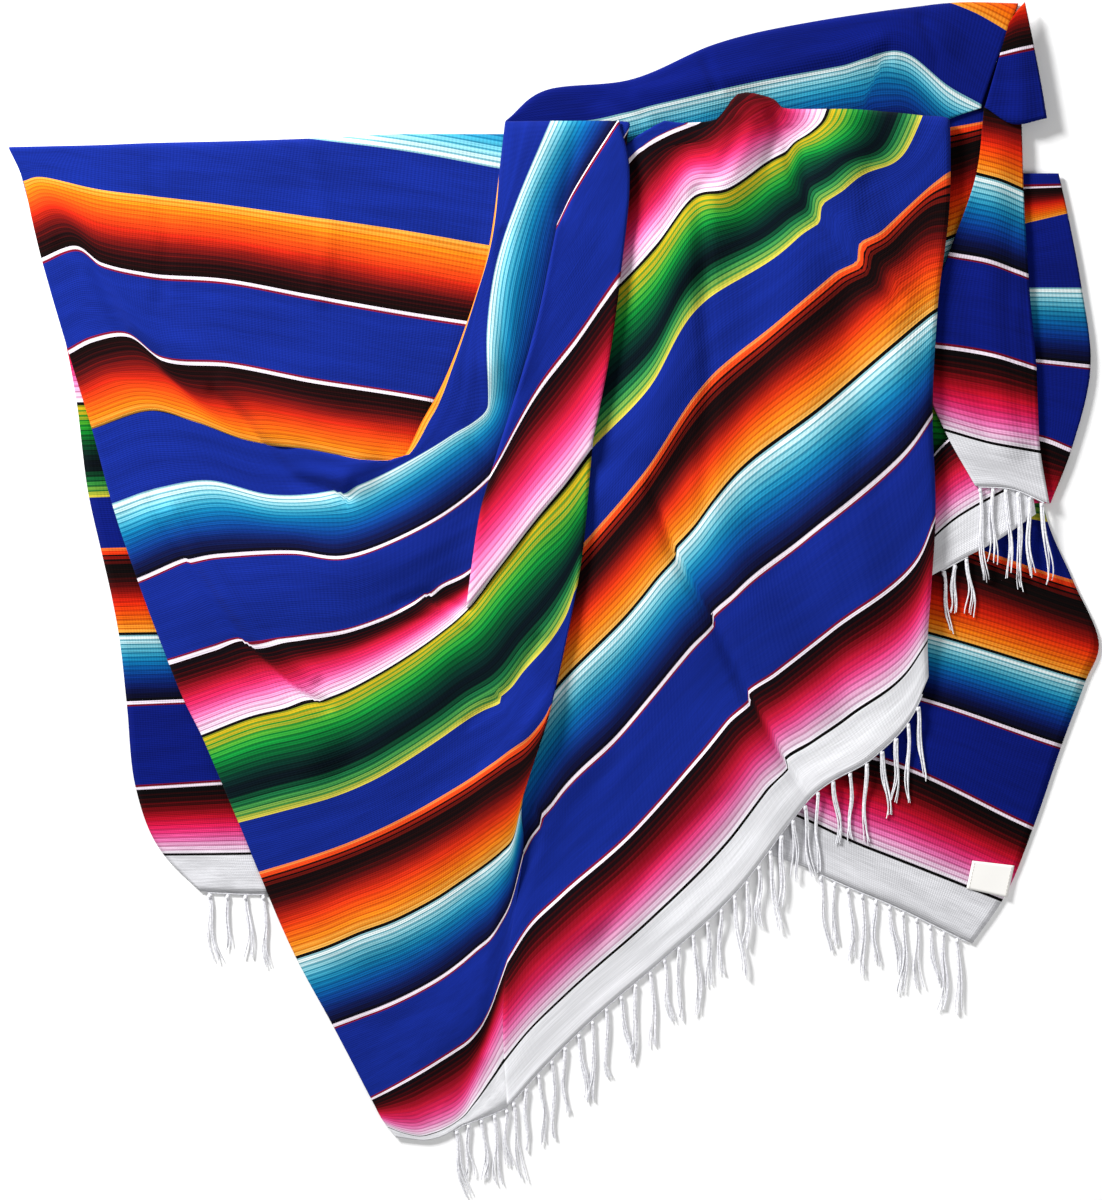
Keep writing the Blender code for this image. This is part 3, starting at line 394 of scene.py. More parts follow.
ROWS["right_front"] = (
    ("h_mid", (592, 602, 612, 624, 635, 643, 650, 657, 664), (176, 167, 158, 148, 139, 134, 130, 126, 123),
        652),
    ("h_g", (603, 617, 631, 643, 655, 665, 674, 682, 690), (192, 174, 158, 148, 140, 135, 131, 128, 125)),
    ("g_foot", (601, 616, 631, 645, 661, 677, 692, 706, 719),
        (207, 189, 174, 158, 147, 139, 133, 128, 121), 617),
    ("g_top", (600, 615, 630, 647, 668, 690, 709, 724, 738), (215, 199, 185, 167, 150, 143, 132, 116, 96),
        610),
    ("g_high", (598, 614, 630, 652, 680, 706, 727, 750, 769),
        (232, 216, 201, 173, 148, 142, 126, 104, 100), 602),
    ("g_mid", (596, 611, 627, 657, 686, 712, 742, 777, 783), (262, 246, 231, 195, 164, 159, 140, 122, 110),
        580),
    ("g_low", (593, 608, 625, 659, 692, 718, 757, 798, 803), (290, 273, 257, 215, 176, 173, 150, 123, 111),
        558),
    ("g_f", (590, 605, 620, 655, 697, 724, 774, 821, 827), (318, 300, 286, 249, 197, 193, 158, 124, 111)),
    ("f_e", (566, 580, 594, 648, 700, 780, 853, 904, 920), (478, 461, 444, 388, 304, 253, 181, 151, 117)),
    ("e_mid", (561, 575, 589, 646, 704, 779, 858, 928, 948), (527, 510, 494, 432, 344, 287, 216, 160, 121),
        417),
    ("e_d", (556, 570, 584, 643, 707, 777, 865, 930, 949), (575, 559, 544, 475, 382, 324, 248, 188, 174)),
    ("d_c", (515, 538, 562, 626, 679, 736, 820, 917, 936), (738, 709, 681, 616, 548, 474, 408, 325, 310)),
    ("c_b", (SEAM_C[0], 536, 560, 620, 690, 740, 806, 908, 931),
        (SEAM_C[1], 830, 795, 735, 650, 590, 538, 450, 416)),
    ("b_a", (SEAM_B[0], 530, 560, 627, 700, 752, 832, 918, 934),
        (SEAM_B[1], 925, 896, 837, 755, 693, 628, 556, 516)),
    ("hem_line", (SEAM_LINE[0], 530, 566, 648, 727, 788, 848, 908, 927),
        (SEAM_LINE[1], 1030, 995, 922, 843, 763, 717, 670, 640)),
    ("hem_edge", (SEAM_EDGE[0], 543, 583, 662, 740, 810, 872, 915, 928),
        (SEAM_EDGE[1], 1068, 1028, 960, 887, 797, 757, 708, 676)),
)
ROWS["top_fold"] = (
    ("top", (506, 546, 629, 715, 810, 905, 962, 1019), (121, 90, 80, 44, 22, 8, 2, 3),
        (1215, 1200, 1190, 1184, 1178, 1165, 1142, 1121)),
    ("far_j_i", (509, 590, 660, 745, 840, 905, 949, 982), (124, 120, 104, 84, 66, 53, 86, 104)),
    ("under_front", (514, 600, 665, 742, 845, 912, 948, 981), (127, 148, 150, 128, 142, 146, 120, 108),
        (1240, 1256, 1272, 1270, 1302, 1315, 1261, 1229)),
)
ROWS["corner_flap"] = (
    ("top", (1008, 1016, 1024), (24, 12, 3), (1105, 1112, 1120)),
    ("far_l_k", (999, 1016, 1033), (56, 52, 48)),
    ("l_mid", (991, 1015, 1040), (84, 87, 84), 1028),
    ("low", (984, 1013, 1046), (108, 125, 119), (1010, 993, 993)),
)
ROWS["inner_strip"] = (
    ("e_mid", (925, 955, 994), (114, 112, 108), 410),
    ("e_d", (925, 955, 992), (131, 127, 120)),
    ("d_c", (920, 948, 985), (248, 238, 222)),
    ("c_mid", (918, 942, 972), (300, 288, 275), 255),
)
ROWS["right_strip"] = (
    ("d_mid", (984, 1003, 1021), (106, 110, 114), 370),
    ("d_c", (976, 1000, 1023), (174, 181, 190)),
    ("c_b", (948, 985, 1028), (255, 262, 277)),
    ("b_a", (916, 980, 1036), (343, 352, 368)),
    ("hem_line", (944, 990, 1040), (430, 443, 452)),
    ("hem_edge", (975, 1010, 1049), (486, 488, 504)),
)
ROWS["second_strip"] = (
    ("b_a", (916, 950, 985, 1018), (476, 438, 424, 414)),
    ("hem_line", (918, 956, 1005, 1030), (552, 518, 490, 478)),
    ("hem_edge", (922, 958, 998, 1036), (581, 561, 540, 514)),
)
print("stretches:", len(ROWS), " rows:", sum(len(rows) for rows in ROWS.values()))

# %% [markdown]
# ## From rows to a grid
# A cloth can't show a crease finer than its cells, so every span between two rows is split into small cells.
# A cubic curve through the rows bends the way cloth does, where straight runs would show as facets. The woven
# distance travels along as a third number, and becomes the piece's own UV map.

# %% Helpers that lay a stretch
# Cells at a turned edge, as shares of its width, and how many of its widths are clear of other cells.
TURN_STEPS = np.array([0, 0.06, 0.16, 0.32, 0.55, 1.0])
TURN_CLEAR = 1.5
# A slope much steeper than the flatter run beside it would throw a curve past its own points.
MOST_STEEPER = 3.0
# An edge that goes on into its neighbour sinks over a longer turn, which shortens over a run of cloth.
LONG_TURN, LONG_TURN_ENDS = 60.0, 40


def curve_through(knots, values, samples):
    """A smooth curve through the values at the knots, read at the samples, along the first axis."""
    column = (-1,) + (1,) * (values.ndim - 1)
    slopes = np.gradient(values, knots, axis=0)
    runs = np.diff(values, axis=0) / np.diff(knots).reshape(column)
    steepest = MOST_STEEPER * np.minimum(np.abs(runs[:-1]), np.abs(runs[1:]))
    slopes[1:-1] = np.clip(slopes[1:-1], -steepest, steepest)
    span = np.clip(np.searchsorted(knots, samples, side="right") - 1, 0, len(knots) - 2)
    width = (knots[span + 1] - knots[span]).reshape(column)
    share = (samples - knots[span]).reshape(column) / width
    square, cube = share**2, share**3
    return (
        (2 * cube - 3 * square + 1) * values[span]
        + (cube - 2 * square + share) * slopes[span] * width
        + (3 * square - 2 * cube) * values[span + 1]
        + (cube - square) * slopes[span + 1] * width
    )


def mean_knots(places, axis):
    """Distances in millimetres along one axis of a table of places, averaged over the other."""
    return running_sum(np.linalg.norm(np.diff(places, axis=axis), axis=-1).mean(axis=1 - axis))


def sample_knots(knots, cell, turned_first, turned_last):
    """Samples about a cell apart between knots, and closer ones at a turned edge."""
    spans = zip(knots[:-1], knots[1:])
    runs = [np.linspace(start, end, int(np.ceil((end - start) / cell)) + 1)[:-1] for start, end in spans]
    samples = np.concatenate([*runs, knots[-1:]])
    if turned_first:
        samples = np.concatenate([TURN_STEPS * TURN, samples[samples > TURN_CLEAR * TURN]])
    if turned_last:
        kept = samples[samples < knots[-1] - TURN_CLEAR * TURN]
        samples = np.concatenate([kept, knots[-1] - TURN * TURN_STEPS[::-1]])
    return samples


def turned_share(distance, turn):
    """Share of the drop at a turned edge: 1 at the edge, 0 a turn away, and round between."""
    from_full = np.clip(1 - distance / turn, 0, 1)
    return 1 - np.sqrt(1 - from_full**2)


def lay(name, turned, rest_of, soft_until=0, low_left=None):
    """Places, woven distances and distances along the rows of a stretch of cloth.

    soft_until: how far across the first row's edge goes on into its neighbour.
    low_left: a neighbour's edge that the left edge follows below the pleat.
    """
    table = np.array([row(*line) for line in ROWS[name]])
    along, over = mean_knots(table[..., :2], 1), mean_knots(table[..., :2], 0)
    cell = FLAT_CELL if name == "back_panel" else CELL
    stations = sample_knots(along, cell[0], "left" in turned, "right" in turned)
    lines = sample_knots(over, cell[1], "first" in turned, "last" in turned)
    grid = curve_through(over, table, lines)
    # The threads between two rows are evenly spaced. A curve would crowd a band towards one of its edges.
    grid[..., 2] = np.array([np.interp(lines, over, column) for column in table[..., 2].T]).T
    grid = curve_through(along, grid.transpose(1, 0, 2), stations).transpose(1, 0, 2)
    if low_left is not None:
        edge = grid[:, 0]
        shared = edge[:, 1] > PLEAT_TOP - 1
        edge[shared, 0] = np.interp(edge[shared, 1], low_left[:, 1], low_left[:, 0])
    across, down = grid[..., 0], grid[..., 1]
    height = stretch_height(across, down, name)
    drop = np.maximum(height - rest_of(across, down), 0)
    soft = 1 - smooth((across - soft_until + LONG_TURN_ENDS) / LONG_TURN_ENDS)
    turns = {
        "first": turned_share(lines[:, None], TURN + (LONG_TURN - TURN) * soft),
        "last": turned_share(lines[-1] - lines[:, None], TURN),
        "left": turned_share(stations, TURN),
        "right": turned_share(stations[-1] - stations, TURN),
    }
    gone = np.zeros(height.shape)
    for edge in turned:
        gone = np.maximum(gone, turns[edge])
    places = np.dstack([across, down, height - drop * gone])
    return places, grid[..., 2], np.broadcast_to(stations, height.shape)


print("steps at a turned edge, in mm:", (TURN_STEPS * TURN).round(1))

# %% [markdown]
# ## Where the folded edges come down
# An edge that is folded under rests on what lies below it. Each of these small functions gives that height,
# and the turned edge is rounded down to it.

# %% Heights that edges rest on
# The sweep's edge lies a lap up from a place across, and comes down flush below the pleat's top.
LAP_FROM, LAP_GROWS, FLUSH_RUN = 330, 60, 60
# Under the sweep lies the top fold, down to a place.
TOP_FOLD_REST, TOP_FOLD_ENDS = 10.2, 160
# The right front's edge lies on the strips, and comes down to the back panel below them.
REST_ON_STRIPS, REST_BELOW, STRIPS_END, COMING_DOWN = 11.6, 3.8, 590, 60
AIR = 0.3


def rest_on_back(across, down):
    return np.full(across.shape, LEVELS["back_panel"])


def rest_on_front(across, down):
    front = front_level(across, down) + ridge_height(across, down, "right_front", RIDGES)
    flush = smooth((down - PLEAT_TOP) / FLUSH_RUN)
    front = front + LAP * (1 - flush) * smooth((across - LAP_FROM) / LAP_GROWS)
    return np.maximum(front, np.where(down < TOP_FOLD_ENDS, TOP_FOLD_REST, 0))


def rest_of_right_front(across, down):
    return REST_ON_STRIPS - (REST_ON_STRIPS - REST_BELOW) * smooth((down - STRIPS_END) / COMING_DOWN)


def rest_on_sweep(across, down):
    return stretch_height(across, down, "left_sweep") + CLOTH + AIR


LAID = {}
for name in ("back_panel", "upper_back_fold", "corner_flap", "inner_strip", "right_strip", "second_strip"):
    LAID[name] = lay(name, (), rest_on_back)
for name in ("top_fold", "upper_left_panel"):
    LAID[name] = lay(name, ("first",), rest_on_back)
LAID["left_sweep"] = lay("left_sweep", ("first", "right"), rest_on_front, soft_until=390)
LAID["centre_lap"] = lay("centre_lap", ("first", "last", "left", "right"), rest_on_sweep)
pleat_edge = LAID["left_sweep"][0][:, -1]
LAID["right_front"] = lay("right_front", ("right",), rest_of_right_front, low_left=pleat_edge)
for name, (places, *_) in LAID.items():
    size = f"{places.shape[0]:4} x {places.shape[1]:3} points"
    print(f"{name:17} {size}, up to {places[..., 2].max():.1f} mm high")

# %% [markdown]
# ## A node helper and colours
# One helper adds any node, sets it and fills its inputs, with a plain value or with another node's output.
# Colours are written as on a screen (sRGB) and turned linear, as Blender needs.

# %% Colour and node helpers
def linear(hex_colour):
    """An sRGB hex colour as linear red, green, blue and alpha."""
    values = np.array([int(hex_colour[start : start + 2], 16) for start in (1, 3, 5)]) / 255
    straight = np.where(values <= 0.04045, values / 12.92, ((values + 0.055) / 1.055) ** 2.4)
    return (*straight, 1.0)


def add(material, kind, inputs, output=0, **settings):
    """Adds a node, sets it, fills its inputs by number or name, and gives one of its outputs."""
    tree = material.node_tree
    node = tree.nodes.new("ShaderNode" + kind)
    for setting, value in settings.items():
        setattr(node, setting, value)
    for socket, value in inputs.items():
        if isinstance(value, bpy.types.NodeSocket):
            tree.links.new(value, node.inputs[socket])
        else:
            node.inputs[socket].default_value = value
    return node.outputs[output]


def new_material(name, roughness, sheen=0.0, colour=None):
    """A matt textile: no metal, little gloss. Its shader's own sockets hold what is the same all over."""
    material = bpy.data.materials.new(name)
    material.use_nodes = True
    shader = material.node_tree.nodes["Principled BSDF"]
    same_all_over = {"Roughness": roughness, "Metallic": 0.0, "IOR": 1.45, "Specular IOR Level": 0.05}
    same_all_over |= {"Sheen Weight": sheen, "Sheen Roughness": 0.6}
    if colour:
        same_all_over["Base Color"] = linear(colour)
    for socket, value in same_all_over.items():
        shader.inputs[socket].default_value = value
    return material, shader


print("mid grey, linear:", np.round(linear("#808080"), 3))

# %% [markdown]
# ## The striped cloth
# A serape is weft-faced acrylic or wool on cotton warps: the coloured thread hides the warp. The blue ground
# is one dyed yarn. The bands shade from pale to black in narrow steps with a darker thread between them, and
# a band without steps is plain.

# %% Bands of the weave
PINK = "#FFF4FE #FFCCEC #FF88C6 #FC4E96 #F22864 #D61A3C #9A0E1E #50060C #1A0408 #0C060C"
CYAN = "#0A0618 #0E1446 #0C2C7C #0A4A9E #0A6AAE #148ABA #4AB4D0 #9CDEEA #F2FFFF"
ORANGE = "#FAB450 #FF961E #FF7616 #FF5610 #EC3412 #B82010 #6E0C0C #2E0808 #100406 #120406 #941C0E"
K_ORANGE = "#FAAC40 #FF8C16 #FF6A12 #F64A12 #D62810 #8C1410 #460A0C #180406 #120404"
GREEN = "#B4BE46 #50A84E #167040 #041C1E #05141E #04302A #04502E #087032 #149A3A #48AC34 #B4AC28 #D2B41E"
BLUE, WHITE, RED_LINE, BLACK = "#11288C", "#FCF0FC", "#86142E", "#0C0808"
BANDS = (
    # start in mm from the hem, steps, colours from the start to the end
    (0, 0, "#F6F6FA"), (49.5, 0, BLACK), (52.5, 15, PINK), (128.5, 0, WHITE), (131.5, 0, RED_LINE),
    (134, 0, BLUE), (219, 0, RED_LINE), (221, 0, WHITE), (224.5, 15, CYAN), (297.5, 0, BLACK),
    (300.5, 17, ORANGE), (384, 0, "#F24A1A"), (388, 0, "#FA8640"), (391, 0, BLUE), (442.5, 0, "#E1D250"),
    (445, 18, GREEN), (535, 0, BLACK), (538, 17, PINK), (621, 0, WHITE), (624.5, 0, RED_LINE), (627, 0, BLUE),
    (715, 0, RED_LINE), (717, 0, WHITE), (720.5, 16, CYAN), (800.5, 0, BLUE), (879, 17, K_ORANGE),
    (961, 0, WHITE), (964.5, 0, RED_LINE), (967, 0, BLUE),
)
# The thread that closes each step: its share of the step, how far its colour goes towards the band's middle
# one, and how much darker it is.
THREAD_SHARE, THREAD_SHIFT, THREAD_DARKER = 0.34, 0.22, 0.28


def stepped_colour(material, distance, start, end, steps, colours):
    """Colour of a shaded band: a ramp read once per step, with one thread of another shade in each."""
    colours = colours.split()
    local = add(material, "Math", {0: distance, 1: start}, operation="SUBTRACT")
    local = add(material, "Math", {0: local, 1: steps / (end - start)}, operation="MULTIPLY")
    whole = add(material, "Math", {0: local}, operation="FLOOR")
    rest = add(material, "Math", {0: local, 1: whole}, operation="SUBTRACT")
    share = add(material, "Math", {0: whole, 1: 1 / (steps - 1)}, operation="MULTIPLY")
    thread = add(material, "Math", {0: rest, 1: 1 - THREAD_SHARE}, operation="GREATER_THAN")
    shift = add(material, "Math", {0: thread, 1: THREAD_SHIFT}, operation="MULTIPLY")
    share = add(material, "Mix", {0: shift, 2: share, 3: 0.5}, data_type="FLOAT")
    colour = add(material, "ValToRGB", {0: share})
    ramp = colour.node.color_ramp
    ramp.elements[0].color, ramp.elements[1].color = linear(colours[0]), linear(colours[-1])
    for place, middle in zip(np.linspace(0, 1, len(colours))[1:-1], colours[1:-1]):
        ramp.elements.new(place).color = linear(middle)
    tone = add(material, "Math", {0: thread, 1: -THREAD_DARKER, 2: 1.0}, operation="MULTIPLY_ADD")
    return add(material, "VectorMath", {0: colour, "Scale": tone}, operation="SCALE")


def band_colour(material, distance):
    """Colour of the weave at a distance from the nearer hem, in millimetres."""
    colour = linear(BANDS[0][2])
    ends = [band[0] for band in BANDS[2:]] + [MIDDLE]
    for (start, steps, colours), end in zip(BANDS[1:], ends):
        here = add(material, "Math", {0: distance, 1: start}, operation="GREATER_THAN")
        band = stepped_colour(material, distance, start, end, steps, colours) if steps else linear(colours)
        colour = add(material, "Mix", {0: here, 6: colour, 7: band}, output=2, data_type="RGBA")
    return colour


print("bands from hem to middle:", len(BANDS), " of them shaded:", sum(band[1] > 0 for band in BANDS))

# %% [markdown]
# ## Weaving it
# Thread after thread takes the dye and the light a little differently, which the eye sees as fine streaks. A
# noise stretched 25 to 1 gives them. A real weft is under 1 mm, too fine to show, so the bump draws it at
# 2 mm, and the warp's ribs at their true 3 mm.
#
# The same bands show on both faces of the blanket. The back panel, the far folds and the strips get a deeper
# and darker copy of the cloth: painted shade, standing in for shade that the lamps don't give them.

# %% The cloth material
# Noises that vary the tone: repeats to a metre along the weft and along the warp, and detail.
STREAKS, BROAD_PATCHES = (1 / 0.030, 1 / 0.0012, 2.0), (9.0, 60.0, 1.0)
NOISE_RANGE, TONE_RANGE = (0.65, 1.35), (0.66, 0.92)
RIB_SPACING, WEFT_SPACING = 0.003, 0.002
RELIEF_STRENGTH, RELIEF_DEPTH = 0.26, 0.0003


def make_striped_cloth(name, depth, tone):
    """The striped weave. A depth over 1 deepens all colours but white. A tone under 1 darkens all."""
    material, shader = new_material(name, 0.92, sheen=0.02)
    woven_map = add(material, "UVMap", {}, uv_map="woven")
    width = add(material, "SeparateXYZ", {0: woven_map}, output=0)
    length = width.node.outputs[1]
    millimetres = add(material, "Math", {0: length, 1: 1000.0}, operation="MULTIPLY")
    mirrored = add(material, "Math", {0: 2.0 * MIDDLE, 1: millimetres}, operation="SUBTRACT")
    distance = add(material, "Math", {0: millimetres, 1: mirrored}, operation="MINIMUM")
    noises = []
    for across, down, detail in (STREAKS, BROAD_PATCHES):
        place = add(material, "Mapping", {"Vector": woven_map, "Scale": (across, down, 1.0)})
        inputs = {"Vector": place, "Scale": 1.0, "Detail": detail}
        noises.append(add(material, "TexNoise", inputs, noise_dimensions="2D"))
    both = add(material, "Math", {0: noises[0], 1: noises[1]}, operation="ADD")
    darkest, brightest = (tone * end for end in TONE_RANGE)
    inputs = {"Value": both, 1: NOISE_RANGE[0], 2: NOISE_RANGE[1], 3: darkest, 4: brightest}
    bright = add(material, "MapRange", inputs)
    deep = add(material, "Gamma", {0: band_colour(material, distance), 1: depth})
    toned = add(material, "VectorMath", {0: deep, 1: bright}, operation="MULTIPLY")
    material.node_tree.links.new(toned, shader.inputs["Base Color"])
    relief = noises[0]
    for place, spacing in ((width, RIB_SPACING), (length, WEFT_SPACING)):
        turns = add(material, "Math", {0: place, 1: 2 * np.pi / spacing}, operation="MULTIPLY")
        threads = add(material, "Math", {0: turns}, operation="SINE")
        relief = add(material, "Math", {0: relief, 1: threads}, operation="ADD")
    inputs = {"Strength": RELIEF_STRENGTH, "Distance": RELIEF_DEPTH, "Height": relief}
    material.node_tree.links.new(add(material, "Bump", inputs), shader.inputs["Normal"])
    return material


STRIPED_CLOTH = make_striped_cloth("woven_acrylic_on_cotton", 1.0, 1.0)
# A deeper and darker copy of the cloth for the stretches listed below: painted shade.
SHADED_CLOTH = make_striped_cloth("woven_acrylic_painted_shade", 1.2, 0.84)
PAINTED_SHADE_ON = "back_panel upper_back_fold top_fold right_strip inner_strip corner_flap".split()
print("nodes in the cloth material:", len(STRIPED_CLOTH.node_tree.nodes))

# %% [markdown]
# ## The stretches of cloth
# Blender's grid operator gives a flat net of cells, and each of its points is then moved to its place on the
# heap. A Solidify modifier thickens the net to both sides, so that it stays the middle of the cloth. The UV
# map takes the thread's place in the blanket, in metres.

# %% Make a shell of cloth
def make_shell(name, places, distances, along, material, thickness):
    """A wall of cloth on a grid of places, with its place in the blanket as its UV map."""
    rows, stations = places.shape[:2]
    shell = bmesh.new()
    bmesh.ops.create_grid(shell, x_segments=stations - 1, y_segments=rows - 1, size=1)
    # create_grid numbers its points from -y to +y, so the last row of the table comes first.
    points = in_metres(places)[::-1].reshape(-1, 3)
    threads = np.dstack([along, distances])[::-1].reshape(-1, 2) / 1000
    woven_map = shell.loops.layers.uv.new("woven")
    shell.verts.ensure_lookup_table()
    for vert, point in zip(shell.verts, points):
        vert.co = point
    for face in shell.faces:
        face.smooth = True
        for loop in face.loops:
            loop[woven_map].uv = threads[loop.vert.index]
    mesh = bpy.data.meshes.new(name)
    shell.to_mesh(mesh)
    shell.free()
    mesh.materials.append(material)
    piece = new_object(name, mesh)
    wall = piece.modifiers.new("cloth_wall", "SOLIDIFY")
    wall.thickness = thickness / 1000
    wall.offset = 0.0
    return piece


CLOTH_PIECES = {}
for name, (places, distances, along) in LAID.items():
    threads = slipped(distances, places[..., 0], places[..., 1], name)
    face = SHADED_CLOTH if name in PAINTED_SHADE_ON else STRIPED_CLOTH
    CLOTH_PIECES[name] = make_shell("woven_" + name, places, threads, along, face, CLOTH)
    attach(CLOTH_PIECES[name], "root")
    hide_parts(name)
faces = sum(len(piece.data.polygons) for piece in CLOTH_PIECES.values())
print("cloth pieces:", len(CLOTH_PIECES), " cells:", faces)

# %% [markdown]
# ## The layers underneath
# The rest of the blanket is folded under the front, where nobody sees more than its edge. The frame holds it
# as one solid, so it only needs the ground colour of the cloth.

# %% Dress the hidden layers
HIDDEN_CLOTH, _ = new_material("woven_acrylic_blue", 0.95, colour="#141F7A")
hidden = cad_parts["hidden_layers"]
hidden.data.materials.clear()
hidden.data.materials.append(HIDDEN_CLOTH)
print("hidden layers, faces:", len(hidden.data.polygons))

# %% [markdown]
# ## Cut sizes
# Each stretch is measured with the size it would have laid flat. The woven distances give the length, the
# widest row gives the width, and the area counts the cloth that shows: where a fold has drawn the cloth
# together, part of its length is gathered out of sight.

# %% Measure each stretch as cut cloth
def between(values, axis):
    """Means of neighbours along an axis."""
    first, second = np.delete(values, -1, axis), np.delete(values, 0, axis)
    return (first + second) / 2


def flat_cut(places, distances):
    """Width and length of a stretch laid flat, the area that shows, and the area it holds, in metres."""
    widths = np.linalg.norm(np.diff(places, axis=1), axis=-1)
    laid = between(np.linalg.norm(np.diff(places, axis=0), axis=-1), 1)
    steps = between(np.abs(np.diff(distances, axis=0)), 1)
    shows = (between(widths, 0) * np.minimum(steps, laid)).sum() / 1e6
    holds = (between(widths, 0) * steps).sum() / 1e6
    return widths.sum(axis=1).max() / 1000, np.ptp(distances) / 1000, shows, holds


CUTS = {name: flat_cut(places, distances) for name, (places, distances, _) in LAID.items()}
for name, (width, length, shows, holds) in CUTS.items():
    print(f"{name:17} {width:.3f} x {length:.3f} m, shows {shows:.4f} m2 of {holds:.4f} m2")

# %% [markdown]
# ## The fringe
# The warp threads run on past the hem and are knotted in small bunches, so that the weave can't come undone.
# A tassel is a round knot with four loose yarns under it. Curves suit yarn better than a mesh: the line is
# the yarn's path, its bevel is the thickness, and a radius at each point makes the knot and the thin tip.

# %% The yarn
YARN, yarn_shader = new_material("unbleached_cotton_yarn", 0.95, sheen=0.1)
yarn_place = add(YARN, "TexCoord", {}, output=3)
yarn_noise = add(YARN, "TexNoise", {"Vector": yarn_place, "Scale": 420.0, "Detail": 2.0})
yarn_tone = add(YARN, "MapRange", {"Value": yarn_noise, 1: 0.3, 2: 0.7, 3: 0.0, 4: 1.0})
yarn_mix = {0: yarn_tone, 6: linear("#C9C9CF"), 7: linear("#EFEFF2")}
yarn_colour = add(YARN, "Mix", yarn_mix, output=2, data_type="RGBA")
YARN.node_tree.links.new(yarn_colour, yarn_shader.inputs["Base Color"])

YARN_RADIUS, YARN_RINGS = 0.85, 18
SHARES = np.linspace(0, 1, YARN_RINGS)
# A knot's radii are shares of the yarn's.
KNOT_LENGTH, KNOT_RADII = 5, np.array([1.2, 1.9, 2.3, 2.3, 1.9, 1.2])
AIR_UNDER_KNOT, AIR_UNDER_YARN = 0.1, 0.2
# The yarns of a tassel: how far each lies to the side, and how far up.
YARNS = ((-1.7, 0.0), (-0.5, 0.55), (0.6, -0.1), (1.7, 0.4))
OUT_OF_HEM, LENGTH_DIFFERS, LEAN, LEAN_DIFFERS, WAVER = 2.0, 0.14, 3.0, 5.0, 3.2
# Heights of what a tassel lies on, and of its middle over that. Those of the right strip start on the second.
ON_BACK, ON_SECOND_STRIP, OVER_REST = 2.0, LEVELS["second_strip"] + 1, 1.4
RIGHT_STRIP_ENDS, SECOND_STRIP_ENDS = 520, 580
FRINGES = (
    # node, stretch, first and last distance along the hem, spacing, length, on the back panel from across
    ("front_fringe_left", "left_sweep", 62, 118, 14, 62, 2000),
    ("front_fringe_right", "right_front", 8, 590, 19, 72, 725),
    ("right_strip_fringe", "right_strip", 5, 72, 13, 88, 0),
    ("second_strip_fringe", "second_strip", 24, 50, 13, 58, 0),
    ("back_fringe_left", "back_panel", 9, 63, 18, 64, 2000),
    ("back_fringe_right", "back_panel", 630, 788, 15, 72, 2000),
)


def tassel_middle(root, outward, length, on_back_from, order):
    """The middle of a tassel: out of the hem, then down the heap. Sines of its number make it differ."""
    lean = LEAN_DIFFERS * np.sin(2.3 * order) + LEAN
    wave = WAVER * np.sin(5.4 * SHARES + 1.7 * order) * SHARES
    length = length * (1 + LENGTH_DIFFERS * np.sin(1.9 * order + 0.6))
    across = root[0] + outward[0] * OUT_OF_HEM + lean * SHARES + wave
    down = root[1] + outward[1] * OUT_OF_HEM + length * SHARES
    rest = np.full(SHARES.shape, ON_BACK if root[0] > on_back_from else 0.0)
    if on_back_from == 0 and root[1] < RIGHT_STRIP_ENDS:
        rest[down < SECOND_STRIP_ENDS] = ON_SECOND_STRIP
    low = rest + OVER_REST
    up = low + (root[2] - low) * (1 - smooth(SHARES * 1.8))
    return np.stack([across, down, up], axis=-1)


def add_yarn(curve, path, radii):
    """One yarn: a run of points with a thickness at each, as a share of the yarn's radius."""
    yarn = curve.splines.new("POLY")
    yarn.points.add(len(path) - 1)
    for point, place, radius in zip(yarn.points, in_metres(path), radii):
        point.co = (*place, 1.0)
        point.radius = radius


def new_yarn_object(name, material, radius):
    """An empty curve object whose lines come out as yarn."""
    curve = bpy.data.curves.new(name, "CURVE")
    curve.dimensions = "3D"
    curve.bevel_depth = radius / 1000
    curve.bevel_resolution = 1
    curve.use_fill_caps = True
    curve.materials.append(material)
    return new_object(name, curve)


print("yarns in a tassel:", len(YARNS), " radius in mm:", YARN_RADIUS)

# %% [markdown]
# ## Tying the tassels
# One yarn twines along the hem, and the tassels fall from it down the heap. The four yarns of a tassel start
# close together in the knot and part a little on the way, by a seeded draw, so the result never changes.

# %% Tie the fringes
draws = np.random.default_rng(7)
# What each yarn draws: its lean and its swing, the waves of the swing and where the first of them starts.
YARN_DRAWS = ((-3.4, 3.4), (0.5, 1.5), (5, 9), (0, 6))
